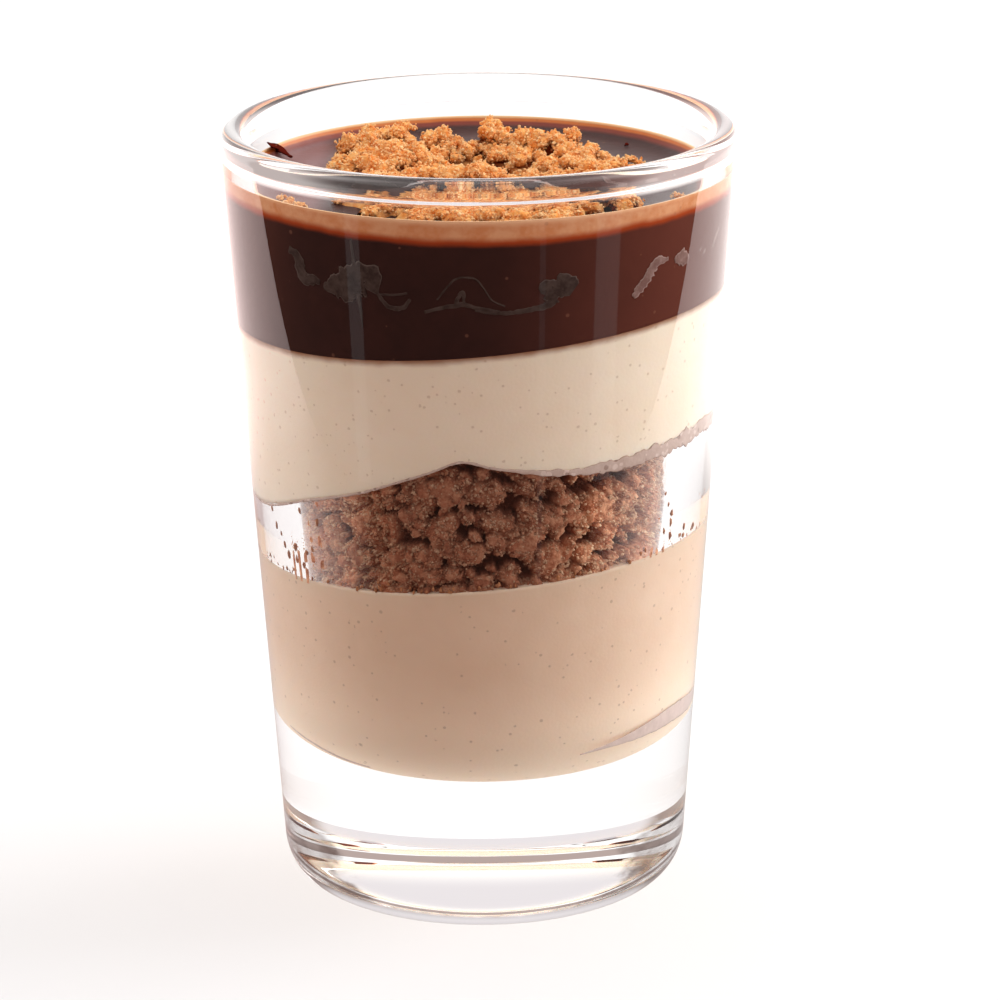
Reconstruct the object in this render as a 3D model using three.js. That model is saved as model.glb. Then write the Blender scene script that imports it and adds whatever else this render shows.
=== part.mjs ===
// A dessert verrine: a heavy-based pressed glass holding coffee cream, a layer of
// cake crumbs, ivory cream and dark chocolate, with more cake crumbs heaped on top.
//
// Millimetres, +Z up. The origin is the centre of the flat base, on the surface
// that the glass stands on. +X is the right-hand side and -Y is the front.

import * as THREE from 'three';

// ---------------------------------------------------------------- the glass

const GLASS = {
  height: 85.4,
  rimRadius: 28.0,
  rimRoundRadius: 1.35,
  heelRadius: 22.5,
  heelRoundHeight: 5.0,
  heelRoundWidth: 4.0,
  bowlFloor: 15.7,
  bowlCornerRadius: 8.0,
  boreAtZero: 15.4,
  boreTaper: 0.1184,
};

// ------------------------------------------------------------- the contents

// Room left between two pieces that touch in the real dessert.
const TOUCH_GAP = 0.3;

// The creams settled on a slant, a little higher on the right.
const COFFEE = { top: 39.4, slant: 0.084 };

const CRUMB = { top: 50.3, slant: 0.17, wallGap: 0.7 };
const CRUMB_HUMP = { height: 3.35, x: -3.0, y: -20.0, width: 9.6, depth: 22.0 };
const CRUMB_PEAK = { height: 0.8, x: -2.0, width: 2.3 };
const CRUMB_DIP = { depth: 2.5, x: -21.5, y: -1.0, width: 4.2, length: 13.0 };

const CHOCOLATE = { bottom: 65.95, slant: 0.089, top: 79.4 };
const MENISCUS = { climb: 1.4, reach: 1.1 };

// The heap of crumbs on the chocolate, as rounded lobes round a hollow.
const HEAP = { x: 0.6, y: -5.7, halfWidth: 15.8, halfDepth: 15.2, edge: 0.7, shoulder: 4 };
const HEAP_LOBES = [
  { x: -9.5, y: 3.0, radius: 6.5, height: 3.2 },
  { x: 1.5, y: 7.0, radius: 5.5, height: 3.3 },
  { x: 10.0, y: 1.5, radius: 6.0, height: 3.0 },
  { x: -8.0, y: -10.5, radius: 6.0, height: 1.6 },
  { x: 1.0, y: -13.5, radius: 6.5, height: 1.8 },
  { x: 10.0, y: -10.5, radius: 6.0, height: 1.6 },
];
const HEAP_OUTLINE_WAVES = [
  { turns: 3, size: 0.045, phase: 0.6 },
  { turns: 5, size: 0.035, phase: 2.1 },
  { turns: 9, size: 0.02, phase: 4.0 },
];

// ---------------------------------------------------------------- meshing

const GLASS_SEGMENTS = 64;
const LAYER_SEGMENTS = 64;
const ROUND_STEPS = 8;
const LAYER_RINGS = 6;
const HEAP_RINGS = 9;

// The finishes of the sub-parts.
const FINISH = {
  glass: { color: 0xeef1f2, roughness: 0.03, metalness: 0, transparent: true, opacity: 0.35 },
  coffeeCream: { color: 0xc4a68d, roughness: 0.45, metalness: 0 },
  crumb: { color: 0x8a5a42, roughness: 0.95, metalness: 0 },
  ivoryCream: { color: 0xd9c6b0, roughness: 0.45, metalness: 0 },
  chocolate: { color: 0x3a211b, roughness: 0.2, metalness: 0 },
  topping: { color: 0xcf8c50, roughness: 0.95, metalness: 0 },
};

/**
 * Points along an arc in the (radius, height) plane, both ends included.
 */
function arc(centreR, centreZ, radius, fromAngle, toAngle) {
  return Array.from({ length: ROUND_STEPS + 1 }, (_, step) => {
    const angle = fromAngle + ((toAngle - fromAngle) * step) / ROUND_STEPS;
    return [centreR + radius * Math.cos(angle), centreZ + radius * Math.sin(angle)];
  });
}

/**
 * A closed body whose outline may change from one bearing to the next.
 *
 * outlineAt(bearing) gives [radius, height] pairs from the bottom centre, out and
 * up to the top centre. The first and last pair are on the axis and are the same
 * for every bearing.
 */
function spun(outlineAt, segments) {
  const outlines = Array.from({ length: segments }, (_, k) => outlineAt((2 * Math.PI * k) / segments));
  const rings = outlines[0].length - 2;
  const positions = [0, 0, outlines[0][0][1]];
  for (let ring = 1; ring <= rings; ring += 1) {
    for (let k = 0; k < segments; k += 1) {
      const bearing = (2 * Math.PI * k) / segments;
      const [radius, height] = outlines[k][ring];
      positions.push(radius * Math.cos(bearing), radius * Math.sin(bearing), height);
    }
  }
  positions.push(0, 0, outlines[0][rings + 1][1]);

  const vertex = (ring, k) => 1 + (ring - 1) * segments + (k % segments);
  const apex = 1 + rings * segments;
  const index = [];
  for (let k = 0; k < segments; k += 1) {
    index.push(0, vertex(1, k + 1), vertex(1, k));
    for (let ring = 1; ring < rings; ring += 1) {
      index.push(vertex(ring, k), vertex(ring, k + 1), vertex(ring + 1, k + 1));
      index.push(vertex(ring, k), vertex(ring + 1, k + 1), vertex(ring + 1, k));
    }
    index.push(vertex(rings, k), vertex(rings, k + 1), apex);
  }

  const geometry = new THREE.BufferGeometry();
  geometry.setAttribute('position', new THREE.Float32BufferAttribute(positions, 3));
  geometry.setIndex(index);
  geometry.computeVertexNormals();
  return geometry;
}

/** Radius of the inside of the glass at a height above its rounded floor. */
function boreRadius(z) {
  return GLASS.boreAtZero + GLASS.boreTaper * z;
}

/** Slope of the inside wall, as an angle from upright. */
const BORE_LEAN = Math.atan(GLASS.boreTaper);

/** Slope of the outside wall, as an angle from upright. */
const WALL_LEAN = Math.atan2(
  GLASS.rimRadius - GLASS.heelRadius,
  GLASS.height - GLASS.rimRoundRadius - GLASS.heelRoundHeight,
);

/**
 * The rounded corner between the floor and the wall of the bowl, inset by a gap.
 */
function bowlCorner(gap) {
  const radius = GLASS.bowlCornerRadius - gap;
  const centreZ = GLASS.bowlFloor + GLASS.bowlCornerRadius;
  const centreR = boreRadius(centreZ) - GLASS.bowlCornerRadius / Math.cos(BORE_LEAN);
  return arc(centreR, centreZ, radius, -Math.PI / 2, -BORE_LEAN);
}

/** The heel of the glass: a quarter of an oval, as [radius, height] pairs. */
function heelRound() {
  const lastAngle = Math.atan((Math.tan(WALL_LEAN) * GLASS.heelRoundHeight) / GLASS.heelRoundWidth);
  return arc(0, 1, 1, -Math.PI / 2, -lastAngle).map(([across, up]) => [
    GLASS.heelRadius - GLASS.heelRoundWidth + across * GLASS.heelRoundWidth,
    up * GLASS.heelRoundHeight,
  ]);
}

/** The glass: a flat base with a rounded heel, a fire-rounded rim and a thick floor. */
function glassGeometry() {
  const heel = heelRound();
  const rimCentreZ = GLASS.height - GLASS.rimRoundRadius;
  const rimCentreR = GLASS.rimRadius - GLASS.rimRoundRadius;
  const rim = arc(rimCentreR, rimCentreZ, GLASS.rimRoundRadius, 0, Math.PI);
  const profile = [
    [0, 0],
    ...heel,
    ...rim,
    ...bowlCorner(0).reverse(),
    [0, GLASS.bowlFloor],
  ];
  const points = profile.map(([radius, height]) => new THREE.Vector2(radius, height));
  const geometry = new THREE.LatheGeometry(points, GLASS_SEGMENTS);
  geometry.rotateX(Math.PI / 2);
  return geometry;
}

/** Height of the coffee cream's surface. */
function coffeeTop(x) {
  return COFFEE.top + COFFEE.slant * x;
}

/** A bell-shaped fall-off: 1 at the place, near 0 two widths away. */
function bell(value, place, width) {
  return Math.exp(-(((value - place) / width) ** 2));
}

/** Height of the crumb layer's surface: a slant, a peaked hump in front and a dip at the left. */
function crumbTop(x, y) {
  const hump =
    CRUMB_HUMP.height * bell(x, CRUMB_HUMP.x, CRUMB_HUMP.width) +
    CRUMB_PEAK.height * bell(x, CRUMB_PEAK.x, CRUMB_PEAK.width);
  const dip = CRUMB_DIP.depth * bell(x, CRUMB_DIP.x, CRUMB_DIP.width) * bell(y, CRUMB_DIP.y, CRUMB_DIP.length);
  return CRUMB.top + CRUMB.slant * x + hump * bell(y, CRUMB_HUMP.y, CRUMB_HUMP.depth) - dip;
}

/** Height of the boundary between the ivory cream and the chocolate. */
function chocolateBottom(x) {
  return CHOCOLATE.bottom + CHOCOLATE.slant * x;
}

/** Height of the chocolate's surface, which climbs the glass in a meniscus. */
function chocolateTop(x, y) {
  const toWall = boreRadius(CHOCOLATE.top) - Math.hypot(x, y);
  return CHOCOLATE.top + MENISCUS.climb * Math.exp(-Math.max(toWall, 0) / MENISCUS.reach);
}

/**
 * Where a slanted surface meets a cylinder-like wall on one bearing.
 *
 * The radius depends on the height and the height on the radius, so a few
 * rounds of substitution settle both.
 */
function edgeOf(surface, bearing, wallGap) {
  let radius = boreRadius(surface(0, 0)) - wallGap;
  for (let round = 0; round < 6; round += 1) {
    const height = surface(radius * Math.cos(bearing), radius * Math.sin(bearing));
    radius = boreRadius(height) - wallGap;
  }
  return radius;
}

/** A surface sampled outwards from the axis to the wall on one bearing. */
function surfaceLine(surface, bearing, wallGap) {
  const edge = edgeOf(surface, bearing, wallGap);
  return Array.from({ length: LAYER_RINGS + 1 }, (_, ring) => {
    const radius = edge * Math.sin((Math.PI / 2) * (ring / LAYER_RINGS));
    return [radius, surface(radius * Math.cos(bearing), radius * Math.sin(bearing))];
  });
}

/** A layer between two surfaces, filling the bore up to a gap. */
function layerGeometry(bottom, top, wallGap) {
  return spun((bearing) => {
    const floor = surfaceLine(bottom, bearing, wallGap);
    const lid = surfaceLine(top, bearing, wallGap).reverse();
    return [...floor, ...lid];
  }, LAYER_SEGMENTS);
}

/** The coffee cream, which takes the rounded shape of the bowl's floor. */
function coffeeGeometry() {
  const floor = GLASS.bowlFloor + TOUCH_GAP;
  return spun((bearing) => {
    const lid = surfaceLine(coffeeTop, bearing, TOUCH_GAP).reverse();
    return [[0, floor], ...bowlCorner(TOUCH_GAP), ...lid];
  }, LAYER_SEGMENTS);
}

/** Half-size of the heap on one bearing, from an oval with a wavy edge. */
function heapReach(bearing) {
  const oval = 1 / Math.hypot(Math.cos(bearing) / HEAP.halfWidth, Math.sin(bearing) / HEAP.halfDepth);
  const wave = HEAP_OUTLINE_WAVES.reduce(
    (sum, { turns, size, phase }) => sum + size * Math.sin(turns * bearing + phase),
    1,
  );
  return oval * wave;
}

/** Height of the heap over the chocolate at a place and a fraction of its reach. */
function heapHeight(x, y, fraction) {
  const lobes = HEAP_LOBES.reduce((sum, lobe) => {
    const away = Math.hypot(x - lobe.x, y - lobe.y) / lobe.radius;
    return sum + lobe.height * Math.exp(-away * away);
  }, 0);
  const fade = 1 - fraction ** HEAP.shoulder;
  return HEAP.edge + (lobes + HEAP.edge) * fade;
}

/** The heap of crumbs that lies on the chocolate. */
function heapGeometry() {
  const geometry = spun((bearing) => {
    const reach = heapReach(bearing);
    const lid = Array.from({ length: HEAP_RINGS + 1 }, (_, ring) => {
      const fraction = 1 - ring / HEAP_RINGS;
      const x = HEAP.x + reach * fraction * Math.cos(bearing);
      const y = HEAP.y + reach * fraction * Math.sin(bearing);
      return [reach * fraction, heapHeight(x, y, fraction)];
    });
    return [[0, 0], [reach, 0], ...lid];
  }, LAYER_SEGMENTS);
  geometry.translate(HEAP.x, HEAP.y, CHOCOLATE.top + TOUCH_GAP);
  return geometry;
}

/** Lifts a surface by a gap. */
function raised(surface, gap) {
  return (x, y) => surface(x, y) + gap;
}

const PIECES = [
  ['glass', glassGeometry(), FINISH.glass],
  ['coffee_cream', coffeeGeometry(), FINISH.coffeeCream],
  ['crumb_layer', layerGeometry(raised(coffeeTop, TOUCH_GAP), crumbTop, CRUMB.wallGap), FINISH.crumb],
  [
    'ivory_cream',
    layerGeometry(raised(crumbTop, TOUCH_GAP), chocolateBottom, TOUCH_GAP),
    FINISH.ivoryCream,
  ],
  [
    'chocolate',
    layerGeometry(raised(chocolateBottom, TOUCH_GAP), chocolateTop, TOUCH_GAP),
    FINISH.chocolate,
  ],
  ['crumb_topping', heapGeometry(), FINISH.topping],
];

const verrine = new THREE.Group();
verrine.name = 'dessert_verrine';
for (const [name, geometry, finish] of PIECES) {
  const piece = new THREE.Mesh(geometry, new THREE.MeshStandardMaterial(finish));
  piece.name = name;
  verrine.add(piece);
}

export default verrine;
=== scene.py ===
"""Looks of a dessert verrine: a heavy glass of creams, cake crumbs and chocolate.

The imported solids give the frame. Every piece here is a finer surface of one of
them, worked out with numpy on a grid, or a scatter of small things that lies on
one of them. Lengths are metres, +Z is up and -Y is the front.
"""

import logging
import math
from dataclasses import dataclass, field
from enum import Enum
from typing import Callable, Sequence

import bpy
import numpy as np
from mathutils import Matrix, Vector


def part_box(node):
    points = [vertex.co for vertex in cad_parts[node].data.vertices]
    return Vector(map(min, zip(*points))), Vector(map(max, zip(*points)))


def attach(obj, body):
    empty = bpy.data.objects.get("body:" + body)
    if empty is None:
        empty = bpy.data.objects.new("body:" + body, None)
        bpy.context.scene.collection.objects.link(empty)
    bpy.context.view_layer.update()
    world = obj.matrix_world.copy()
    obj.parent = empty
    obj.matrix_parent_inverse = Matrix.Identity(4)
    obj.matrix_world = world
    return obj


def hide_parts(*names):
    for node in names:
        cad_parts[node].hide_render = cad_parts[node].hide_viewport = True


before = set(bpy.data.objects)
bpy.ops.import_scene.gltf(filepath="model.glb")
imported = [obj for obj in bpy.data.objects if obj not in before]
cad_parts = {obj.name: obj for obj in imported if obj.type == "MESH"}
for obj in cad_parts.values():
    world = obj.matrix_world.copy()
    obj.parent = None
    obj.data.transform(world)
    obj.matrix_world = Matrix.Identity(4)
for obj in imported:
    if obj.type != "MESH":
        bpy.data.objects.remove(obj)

logging.basicConfig(level=logging.INFO, format="%(message)s")
log = logging.getLogger("verrine")

MM = 0.001
BODY = "root"

Array = np.ndarray
Mesh = tuple[Array, Array]
Surface = Callable[[Array, Array], Array]
Colour = tuple[float, float, float, float]
Stroke = tuple[tuple[float, float, float], ...]
Socket = bpy.types.NodeSocket
Value = float | Colour | Socket


# ------------------------------------------------------------------ mesh making


def new_object(name: str, points: Array, triangles: Array, smooth: bool = True) -> bpy.types.Object:
    """Puts arrays into a mesh object that sits at the origin.

    Args:
        name: Plain name of the piece.
        points: Vertex places, shape (n, 3), in metres.
        triangles: Corner indices, shape (m, 3), counter-clockwise from outside.
        smooth: True to shade across the edges.

    Returns:
        The object, linked to the scene.
    """
    mesh = bpy.data.meshes.new(name)
    mesh.vertices.add(len(points))
    mesh.vertices.foreach_set("co", np.ascontiguousarray(points, dtype=np.float32).ravel())
    mesh.loops.add(triangles.size)
    mesh.loops.foreach_set("vertex_index", np.ascontiguousarray(triangles, dtype=np.int32).ravel())
    mesh.polygons.add(len(triangles))
    mesh.polygons.foreach_set("loop_start", np.arange(0, triangles.size, 3, dtype=np.int32))
    mesh.polygons.foreach_set("use_smooth", np.full(len(triangles), smooth))
    mesh.update(calc_edges=True)
    mesh.validate()
    piece = bpy.data.objects.new(name, mesh)
    bpy.context.collection.objects.link(piece)
    return piece


def mark(piece: bpy.types.Object, name: str, values: Array) -> None:
    """Stores one number for each point. Args: piece, name of the attribute, values."""
    layer = piece.data.attributes.new(name, "FLOAT", "POINT")
    layer.data.foreach_set("value", np.ascontiguousarray(values, dtype=np.float32).ravel())


def full_turn(count: int) -> Array:
    """Angles once round, evenly spread from 0. Args: how many. Returns: radians."""
    return np.linspace(0, 2 * math.pi, count, endpoint=False)


def polar(radius: Array, bearing: Array, height: Array) -> Array:
    """Points round the axis: (r cos t, r sin t, z). Args: r, t, z. Returns: shape (..., 3)."""
    return np.stack(np.broadcast_arrays(radius * np.cos(bearing), radius * np.sin(bearing), height), -1)


def ease(share: Array) -> Array:
    """A smooth step: f^2 (3 - 2 f). Args: f, 0 to 1. Returns: 0 to 1."""
    return share**2 * (3 - 2 * share)


def ramp(value: Array, zero: float, one: float) -> Array:
    """A straight climb from 0 to 1. Args: value, where it is 0 and where 1. Returns: 0 to 1."""
    return np.clip((value - zero) / (one - zero), 0, 1)


def ring_triangles(rings: int, segments: int) -> Array:
    """Triangles of stacked closed rings, with a pole at each end.

    Vertex order is the first pole, the rings one after another, then the last
    pole. Rings that climb while they run counter-clockwise face outwards.

    Args:
        rings: Number of rings.
        segments: Points in each ring.

    Returns:
        Indices, shape (m, 3).
    """
    ring, turn = np.meshgrid(np.arange(rings - 1), np.arange(segments), indexing="ij")
    a = 1 + ring * segments + turn
    b = 1 + ring * segments + (turn + 1) % segments
    c, d = b + segments, a + segments
    sides = np.concatenate([np.stack([a, b, c], -1), np.stack([a, c, d], -1)]).reshape(-1, 3)
    turn = np.arange(segments)
    after = (turn + 1) % segments
    low = np.stack([0 * turn, 1 + after, 1 + turn], -1)
    top = 1 + (rings - 1) * segments
    high = np.stack([top + turn, top + after, 0 * turn + top + segments], -1)
    return np.concatenate([low, sides, high])


def closed_mesh(grid: Array, low: Sequence[float], high: Sequence[float]) -> Mesh:
    """A closed body from rings of points and the two points that close it.

    Args:
        grid: Ring points, shape (rings, segments, 3).
        low: Point that closes the first ring.
        high: Point that closes the last ring.

    Returns:
        Points and triangles.
    """
    points = np.concatenate([[low], grid.reshape(-1, 3), [high]])
    return points, ring_triangles(*grid.shape[:2])


def repeated(faces: Array, size: int, count: int) -> Array:
    """Faces of count like bodies of size points each. Args: faces, size, count. Returns: all faces."""
    return (faces[None] + size * np.arange(count)[:, None, None]).reshape(-1, 3)


def join(parts: Sequence[Mesh]) -> Mesh:
    """Joins meshes into one. Args: parts, points and triangles of each. Returns: both, joined."""
    starts = np.cumsum([0, *(len(points) for points, _ in parts)])[:-1]
    triangles = np.concatenate([faces + start for (_, faces), start in zip(parts, starts)])
    return np.concatenate([points for points, _ in parts]), triangles


def arc(centre: tuple[float, float], radius: float, start: float, end: float, steps: int) -> Array:
    """Points of an arc in the (radius, height) plane: centre + radius (cos, sin).

    Args:
        centre: Radius and height of the arc's centre.
        radius: Radius of the arc.
        start: First angle, in radians.
        end: Last angle, in radians.
        steps: Number of points.

    Returns:
        Points, shape (steps, 2).
    """
    angle = np.linspace(start, end, steps)
    return np.stack([centre[0] + radius * np.cos(angle), centre[1] + radius * np.sin(angle)], -1)


# ------------------------------------------------------------------------ noise


def lattice_noise(points: Array, seed: int) -> Array:
    """Smooth noise in -1..1: random values at whole-number places, eased between.

    Args:
        points: Places, shape (..., 3).
        seed: Picks the pattern.

    Returns:
        Values, shape (...).
    """
    cell = np.floor(points).astype(np.int64)
    part = ease(points - cell)
    total = np.zeros(points.shape[:-1])
    for corner in range(8):
        offset = np.array([corner & 1, (corner >> 1) & 1, corner >> 2])
        at = cell + offset
        mixed = at[..., 0] * 73856093 ^ at[..., 1] * 19349663 ^ at[..., 2] * 83492791
        mixed = (mixed + seed * 2654435761) & 0xFFFFFFFF
        mixed = ((mixed ^ (mixed >> 15)) * 2246822519) & 0xFFFFFFFF
        mixed = ((mixed ^ (mixed >> 13)) * 3266489917) & 0xFFFFFFFF
        value = ((mixed ^ (mixed >> 16)) & 0xFFFF) / 32767.5 - 1
        total += np.where(offset == 1, part, 1 - part).prod(-1) * value
    return total


def layered_noise(points: Array, size: float, octaves: int, seed: int) -> Array:
    """Noise of several sizes: each octave is half the size and half the strength.

    Args:
        points: Places in metres, shape (..., 3).
        size: Size of the largest lumps, in metres.
        octaves: Number of sizes.
        seed: Picks the pattern.

    Returns:
        Values of about -1..1.
    """
    total = np.zeros(points.shape[:-1])
    for octave in range(octaves):
        total += lattice_noise(points / size * 2**octave, seed + octave) * 0.5**octave
    return total / (2 - 0.5 ** (octaves - 1))


# ---------------------------------------------------------------- shader graphs


def rgb(red: float, green: float, blue: float) -> Colour:
    """A display colour as the linear colour that shaders use. Args: 0..255 a channel. Returns: the colour."""
    share = np.array([red, green, blue]) / 255
    linear = np.where(share <= 0.04045, share / 12.92, ((share + 0.055) / 1.055) ** 2.4)
    return (*linear.tolist(), 1.0)


class Graph:
    """A node tree that is filled by short calls."""

    def __init__(self, tree: bpy.types.NodeTree) -> None:
        """Takes the tree to fill and empties it. Args: the tree."""
        self.tree = tree
        tree.nodes.clear()

    def add(self, kind: str, inputs: dict | None = None, **settings: object) -> bpy.types.Node:
        """Adds a node.

        Args:
            kind: Node type name.
            inputs: Socket name or number to a value, or to a socket to link.
            settings: Attributes of the node.

        Returns:
            The node.
        """
        node = self.tree.nodes.new(kind)
        for key, value in settings.items():
            setattr(node, key, value)
        for key, value in (inputs or {}).items():
            if isinstance(value, Socket):
                self.tree.links.new(value, node.inputs[key])
            else:
                node.inputs[key].default_value = value
        return node

    def math(self, operation: str, first: Value, second: Value = 0.0, clamp: bool = False) -> Socket:
        """One Math node. Args: operation, its two inputs, clamp. Returns: its output."""
        inputs = {0: first, 1: second}
        return self.add("ShaderNodeMath", inputs, operation=operation, use_clamp=clamp).outputs[0]

    def times(self, *factors: Value) -> Socket:
        """A product. Args: its factors. Returns: its output."""
        product = factors[0]
        for factor in factors[1:]:
            product = self.math("MULTIPLY", product, factor)
        return product

    def plus(self, first: Value, second: Value, clamp: bool = False) -> Socket:
        """A sum. Args: both parts, True to keep it in 0..1. Returns: its output."""
        return self.math("ADD", first, second, clamp)

    def minus(self, first: Value, second: Value) -> Socket:
        """A difference. Args: both parts. Returns: its output."""
        return self.math("SUBTRACT", first, second)

    def mix(self, factor: Value, first: Value, second: Value) -> Socket:
        """One colour Mix node. Args: factor and the two colours. Returns: its output."""
        inputs = {0: factor, 6: first, 7: second}
        return self.add("ShaderNodeMix", inputs, data_type="RGBA").outputs[2]

    def tinted(self, colour: Value, mask: Value, strength: float, other: Value) -> Socket:
        """A colour with another over it. Args: colour, mask, its strength, other. Returns: its output."""
        return self.mix(self.times(mask, strength), colour, other)

    def span(self, value: Value, low: float, high: float, start: float = 0.0, end: float = 1.0) -> Socket:
        """A smooth step. Args: value, its range and the range it becomes. Returns: its output."""
        inputs = {0: value, 1: low, 2: high, 3: start, 4: end}
        return self.add("ShaderNodeMapRange", inputs, interpolation_type="SMOOTHSTEP").outputs[0]

    def noise(self, where: Socket, scale: Value, detail: float = 2.0, roughness: float = 0.5) -> Socket:
        """One Noise Texture. Args: place, scale per metre, detail, roughness. Returns: its value."""
        inputs = {"Vector": where, "Scale": scale, "Detail": detail, "Roughness": roughness}
        return self.add("ShaderNodeTexNoise", inputs).outputs[0]

    def place(self) -> tuple[Socket, Socket, Socket, Socket]:
        """Object coordinates. Returns: the vector, then its x, y and z."""
        where = self.add("ShaderNodeTexCoord").outputs["Object"]
        return (where, *self.add("ShaderNodeSeparateXYZ", {0: where}).outputs)

    def attribute(self, name: str) -> Socket:
        """A number stored on the mesh. Args: its name. Returns: its output."""
        return self.add("ShaderNodeAttribute", attribute_name=name).outputs["Fac"]

    def blend(self, factor: Value, first: bpy.types.Node, second: bpy.types.Node) -> bpy.types.Node:
        """Mixes two shaders. Args: factor and the two nodes. Returns: the Mix Shader node."""
        return self.add("ShaderNodeMixShader", {0: factor, 1: first.outputs[0], 2: second.outputs[0]})

    def end(self, shader: bpy.types.Node, kind: str = "ShaderNodeOutputMaterial") -> None:
        """Leads a shader to the output. Args: shader node, type name of the output."""
        self.add(kind, {0: shader.outputs[0]})

    def matt(self, inputs: dict, relief: Socket, strength: float, distance: float) -> None:
        """Ends in a Principled shader with a bump. Args: its inputs, height, strength, distance."""
        bump = self.add("ShaderNodeBump", {"Strength": strength, "Distance": distance, "Height": relief})
        self.end(self.add("ShaderNodeBsdfPrincipled", {**inputs, "Normal": bump.outputs[0]}))

    def effect(self, fill: Callable[..., Socket], where: Socket, **values: Value) -> Socket:
        """Places a shared node group, which is built on first use.

        Args:
            fill: Fills the group's graph, given its inputs, and returns its output.
            where: The place that the group reads.
            values: Its other inputs.

        Returns:
            The output of the group.
        """
        name = fill.__name__
        if name not in bpy.data.node_groups:
            tree = bpy.data.node_groups.new(name, "ShaderNodeTree")
            tree.interface.new_socket(name="place", in_out="INPUT", socket_type="NodeSocketVector")
            for label in values:
                tree.interface.new_socket(name=label, in_out="INPUT", socket_type="NodeSocketFloat")
            tree.interface.new_socket(name="value", in_out="OUTPUT", socket_type="NodeSocketFloat")
            inner = Graph(tree)
            given = inner.add("NodeGroupInput").outputs
            inner.add("NodeGroupOutput", {0: fill(inner, *(given[label] for label in ("place", *values)))})
        group = bpy.data.node_groups[name]
        return self.add("ShaderNodeGroup", {"place": where, **values}, node_tree=group).outputs[0]


def mottle(graph: Graph, place: Socket, scale: Socket, contrast: Socket) -> Socket:
    """Fills a group: patches that ease between 0 and 1, two noises, the finer at a third.

    Args:
        graph: Graph of the group.
        place: Where the pattern is read.
        scale: Patches per metre.
        contrast: How hard their edges are.

    Returns:
        The mask.
    """
    small = graph.noise(place, graph.times(scale, 4.3), 2.0, 0.6)
    small = graph.times(graph.minus(small, 0.5), 0.35)
    level = graph.minus(graph.plus(graph.noise(place, scale, 3.0, 0.6), small), 0.5)
    return graph.plus(graph.times(level, graph.times(contrast, 3.0)), 0.5, clamp=True)


def speckle(graph: Graph, place: Socket, scale: Socket, size: Socket, share: Socket) -> Socket:
    """Fills a group: small round spots in some of the cells of a random lattice.

    Args:
        graph: Graph of the group.
        place: Where the pattern is read.
        scale: Cells per metre.
        size: Radius of the largest spots, in cells.
        share: How many of the cells have one.

    Returns:
        The mask.
    """
    cells = graph.add("ShaderNodeTexVoronoi", {"Vector": place, "Scale": scale}).outputs
    picked = graph.add("ShaderNodeSeparateXYZ", {0: cells["Color"]}).outputs
    inner = graph.minus(graph.times(size, picked[1]), cells["Distance"])
    spot = graph.math("MULTIPLY", inner, 12.0, clamp=True)
    return graph.times(spot, graph.math("LESS_THAN", picked[0], share))


def grain(graph: Graph, place: Socket, scale: Socket, rough: Socket) -> Socket:
    """Fills a group: granular relief, rounded cells with a finer noise over them.

    Args:
        graph: Graph of the group.
        place: Where the pattern is read.
        scale: Cells per metre.
        rough: Strength of the finer noise.

    Returns:
        The height.
    """
    cells = graph.add("ShaderNodeTexVoronoi", {"Vector": place, "Scale": scale}).outputs
    small = graph.noise(place, graph.times(scale, 2.4), 2.0, 0.6)
    return graph.plus(graph.minus(1.0, cells["Distance"]), graph.times(small, rough))


def new_material(name: str) -> tuple[bpy.types.Material, Graph]:
    """A material that uses nodes. Args: its name. Returns: the material and its graph."""
    material = bpy.data.materials.new(name)
    material.use_nodes = True
    return material, Graph(material.node_tree)


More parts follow.
